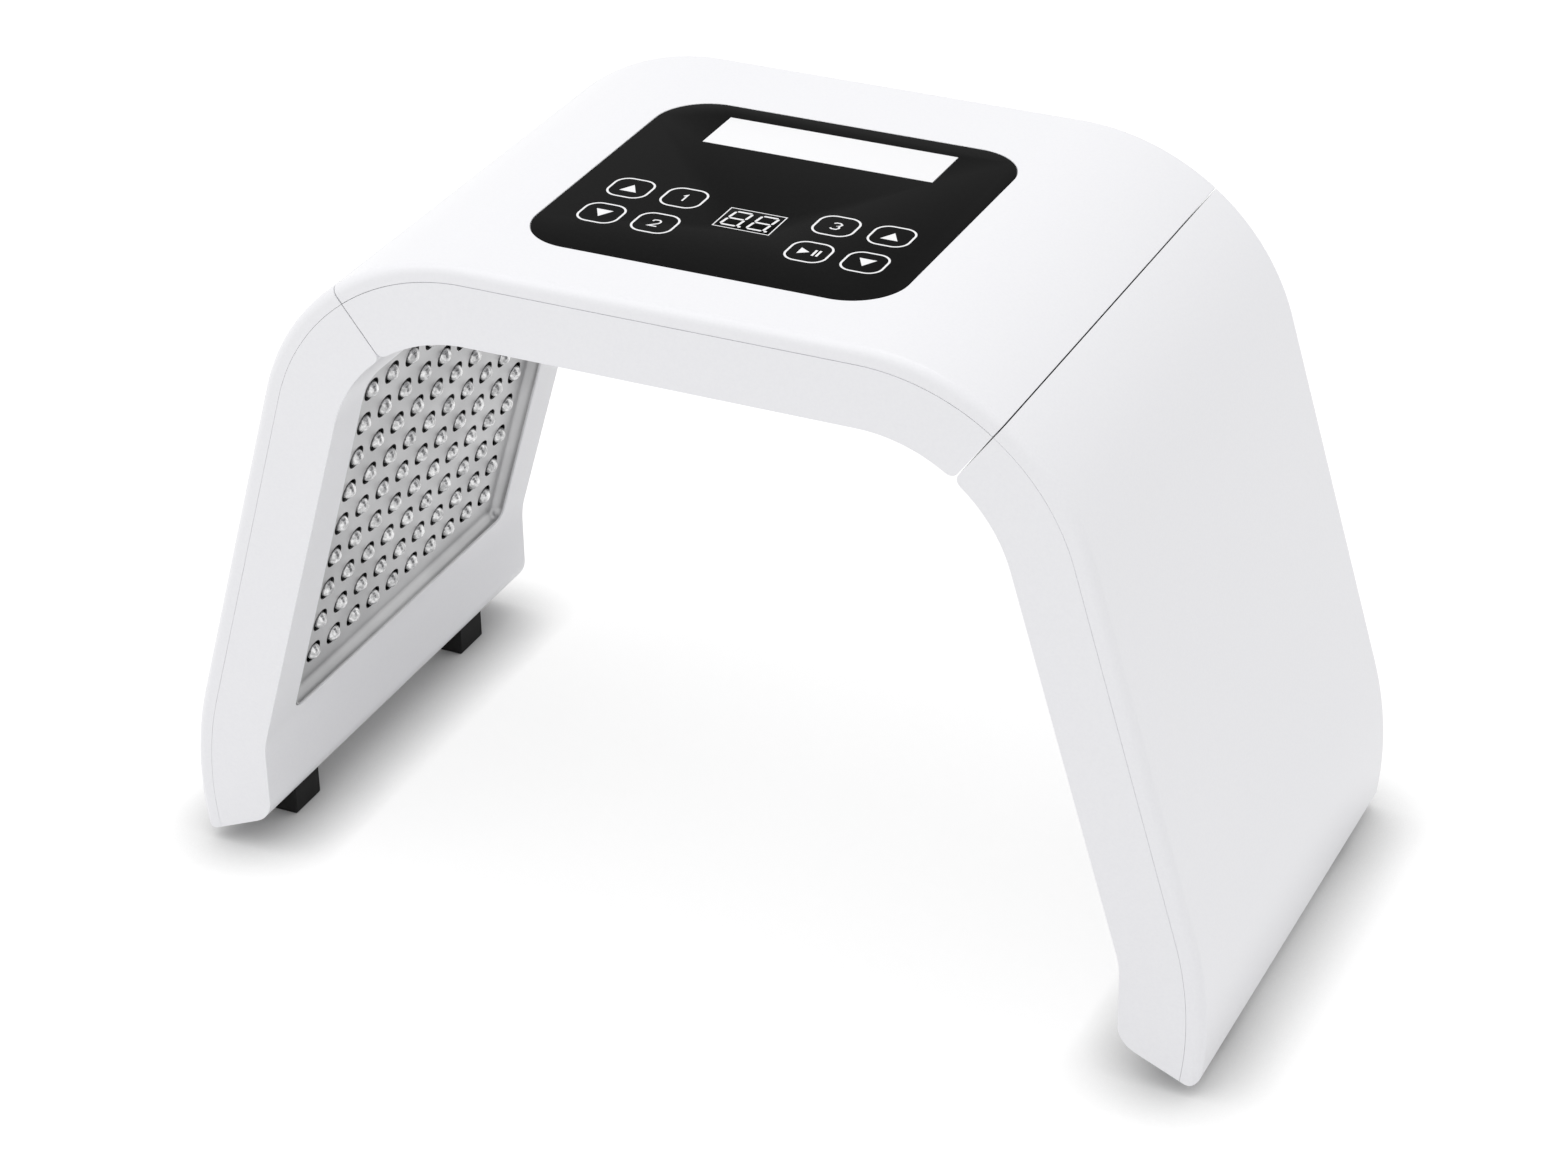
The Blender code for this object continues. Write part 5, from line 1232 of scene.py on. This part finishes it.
def make_floor():
    """Floor that lights the object, is seen white with soft contact shadows (partly real shade and partly
    painted shadow, where ambient occlusion dims its glow), and is clear from below.
    """
    bm = bmesh.new()
    bmesh.ops.create_grid(bm, x_segments=1, y_segments=1, size=FLOOR_HALF)
    mesh = finish_mesh(bm, "floor")
    floor = linked("floor", mesh)
    floor.location.z = -FLOOR_GAP
    made = shader_material("floor_white", FLOOR_COLOUR, FLOOR_ROUGHNESS, Specular_IOR_Level=0.0)
    tree = made.node_tree
    seen = add_node(tree, "ShaderNodeBsdfPrincipled", Roughness=FLOOR_ROUGHNESS, Specular_IOR_Level=0.0,
                    Base_Color=rgba(SEEN_FLOOR), Emission_Color=rgba(1.0))
    # Painted contact shadow: near the object, ambient occlusion dims the glow that the camera and reflections
    # see. The dim diffuse part adds real shade.
    near = add_node(tree, "ShaderNodeAmbientOcclusion", Distance=PAINTED_SHADOW_REACH)
    near.samples = PAINTED_SHADOW_SAMPLES
    painted_shadow_falloff = add_node(tree, "ShaderNodeMath", near.outputs["AO"], PAINTED_SHADOW_POWER)
    painted_shadow_falloff.operation = "POWER"
    fill_in(tree, seen, {"Emission Strength": remapped(tree, painted_shadow_falloff.outputs[0], 0.0, FLOOR_GLOW)})
    lit = tree.nodes["Principled BSDF"].outputs[0]
    above = add_node(tree, "ShaderNodeMixShader", background_rays(tree), lit, seen.outputs[0])
    from_below = tree.nodes.new("ShaderNodeNewGeometry").outputs["Backfacing"]
    clear = tree.nodes.new("ShaderNodeBsdfTransparent").outputs[0]
    all_round = add_node(tree, "ShaderNodeMixShader", from_below, above.outputs[0], clear)
    put(tree, all_round.outputs[0], tree.nodes["Material Output"].inputs["Surface"])
    mesh.materials.append(made)


def area_light(name, place, size, power):
    """Soft square lamp that points at the object."""
    light = bpy.data.lights.new(name, "AREA")
    light.size = size
    light.energy = power
    obj = linked(name, light)
    obj.location = place
    obj.rotation_euler = (LIGHT_TARGET - Vector(place)).to_track_quat("-Z", "Y").to_euler()


def make_world():
    """Even pale surroundings: white to the camera and in reflections, softer as light."""
    world = bpy.data.worlds.new("studio")
    scene.world = world
    world.use_nodes = True
    tree = world.node_tree
    strength = remapped(tree, background_rays(tree), WORLD_LEVEL, 1.0)
    fill_in(tree, tree.nodes["Background"], {"Color": rgba(1.0), "Strength": strength})


def make_camera():
    data = bpy.data.cameras.new("camera")
    data.sensor_fit = "HORIZONTAL"
    data.sensor_width = SENSOR_WIDTH
    data.lens = CAMERA_LENS
    data.clip_start = NEAR_CLIP
    camera = linked("camera", data)
    turn = Matrix((CAMERA_RIGHT, CAMERA_UP, -CAMERA_AHEAD)).transposed().to_4x4()
    camera.matrix_world = Matrix.Translation(CAMERA_PLACE) @ turn
    scene.camera = camera


make_floor()
make_world()
area_light("key_light", (-0.9, -0.9, 2.2), 2.2, 11.8)
area_light("top_light", (0.0, 0.3, 2.4), 1.0, 5.0)
make_camera()
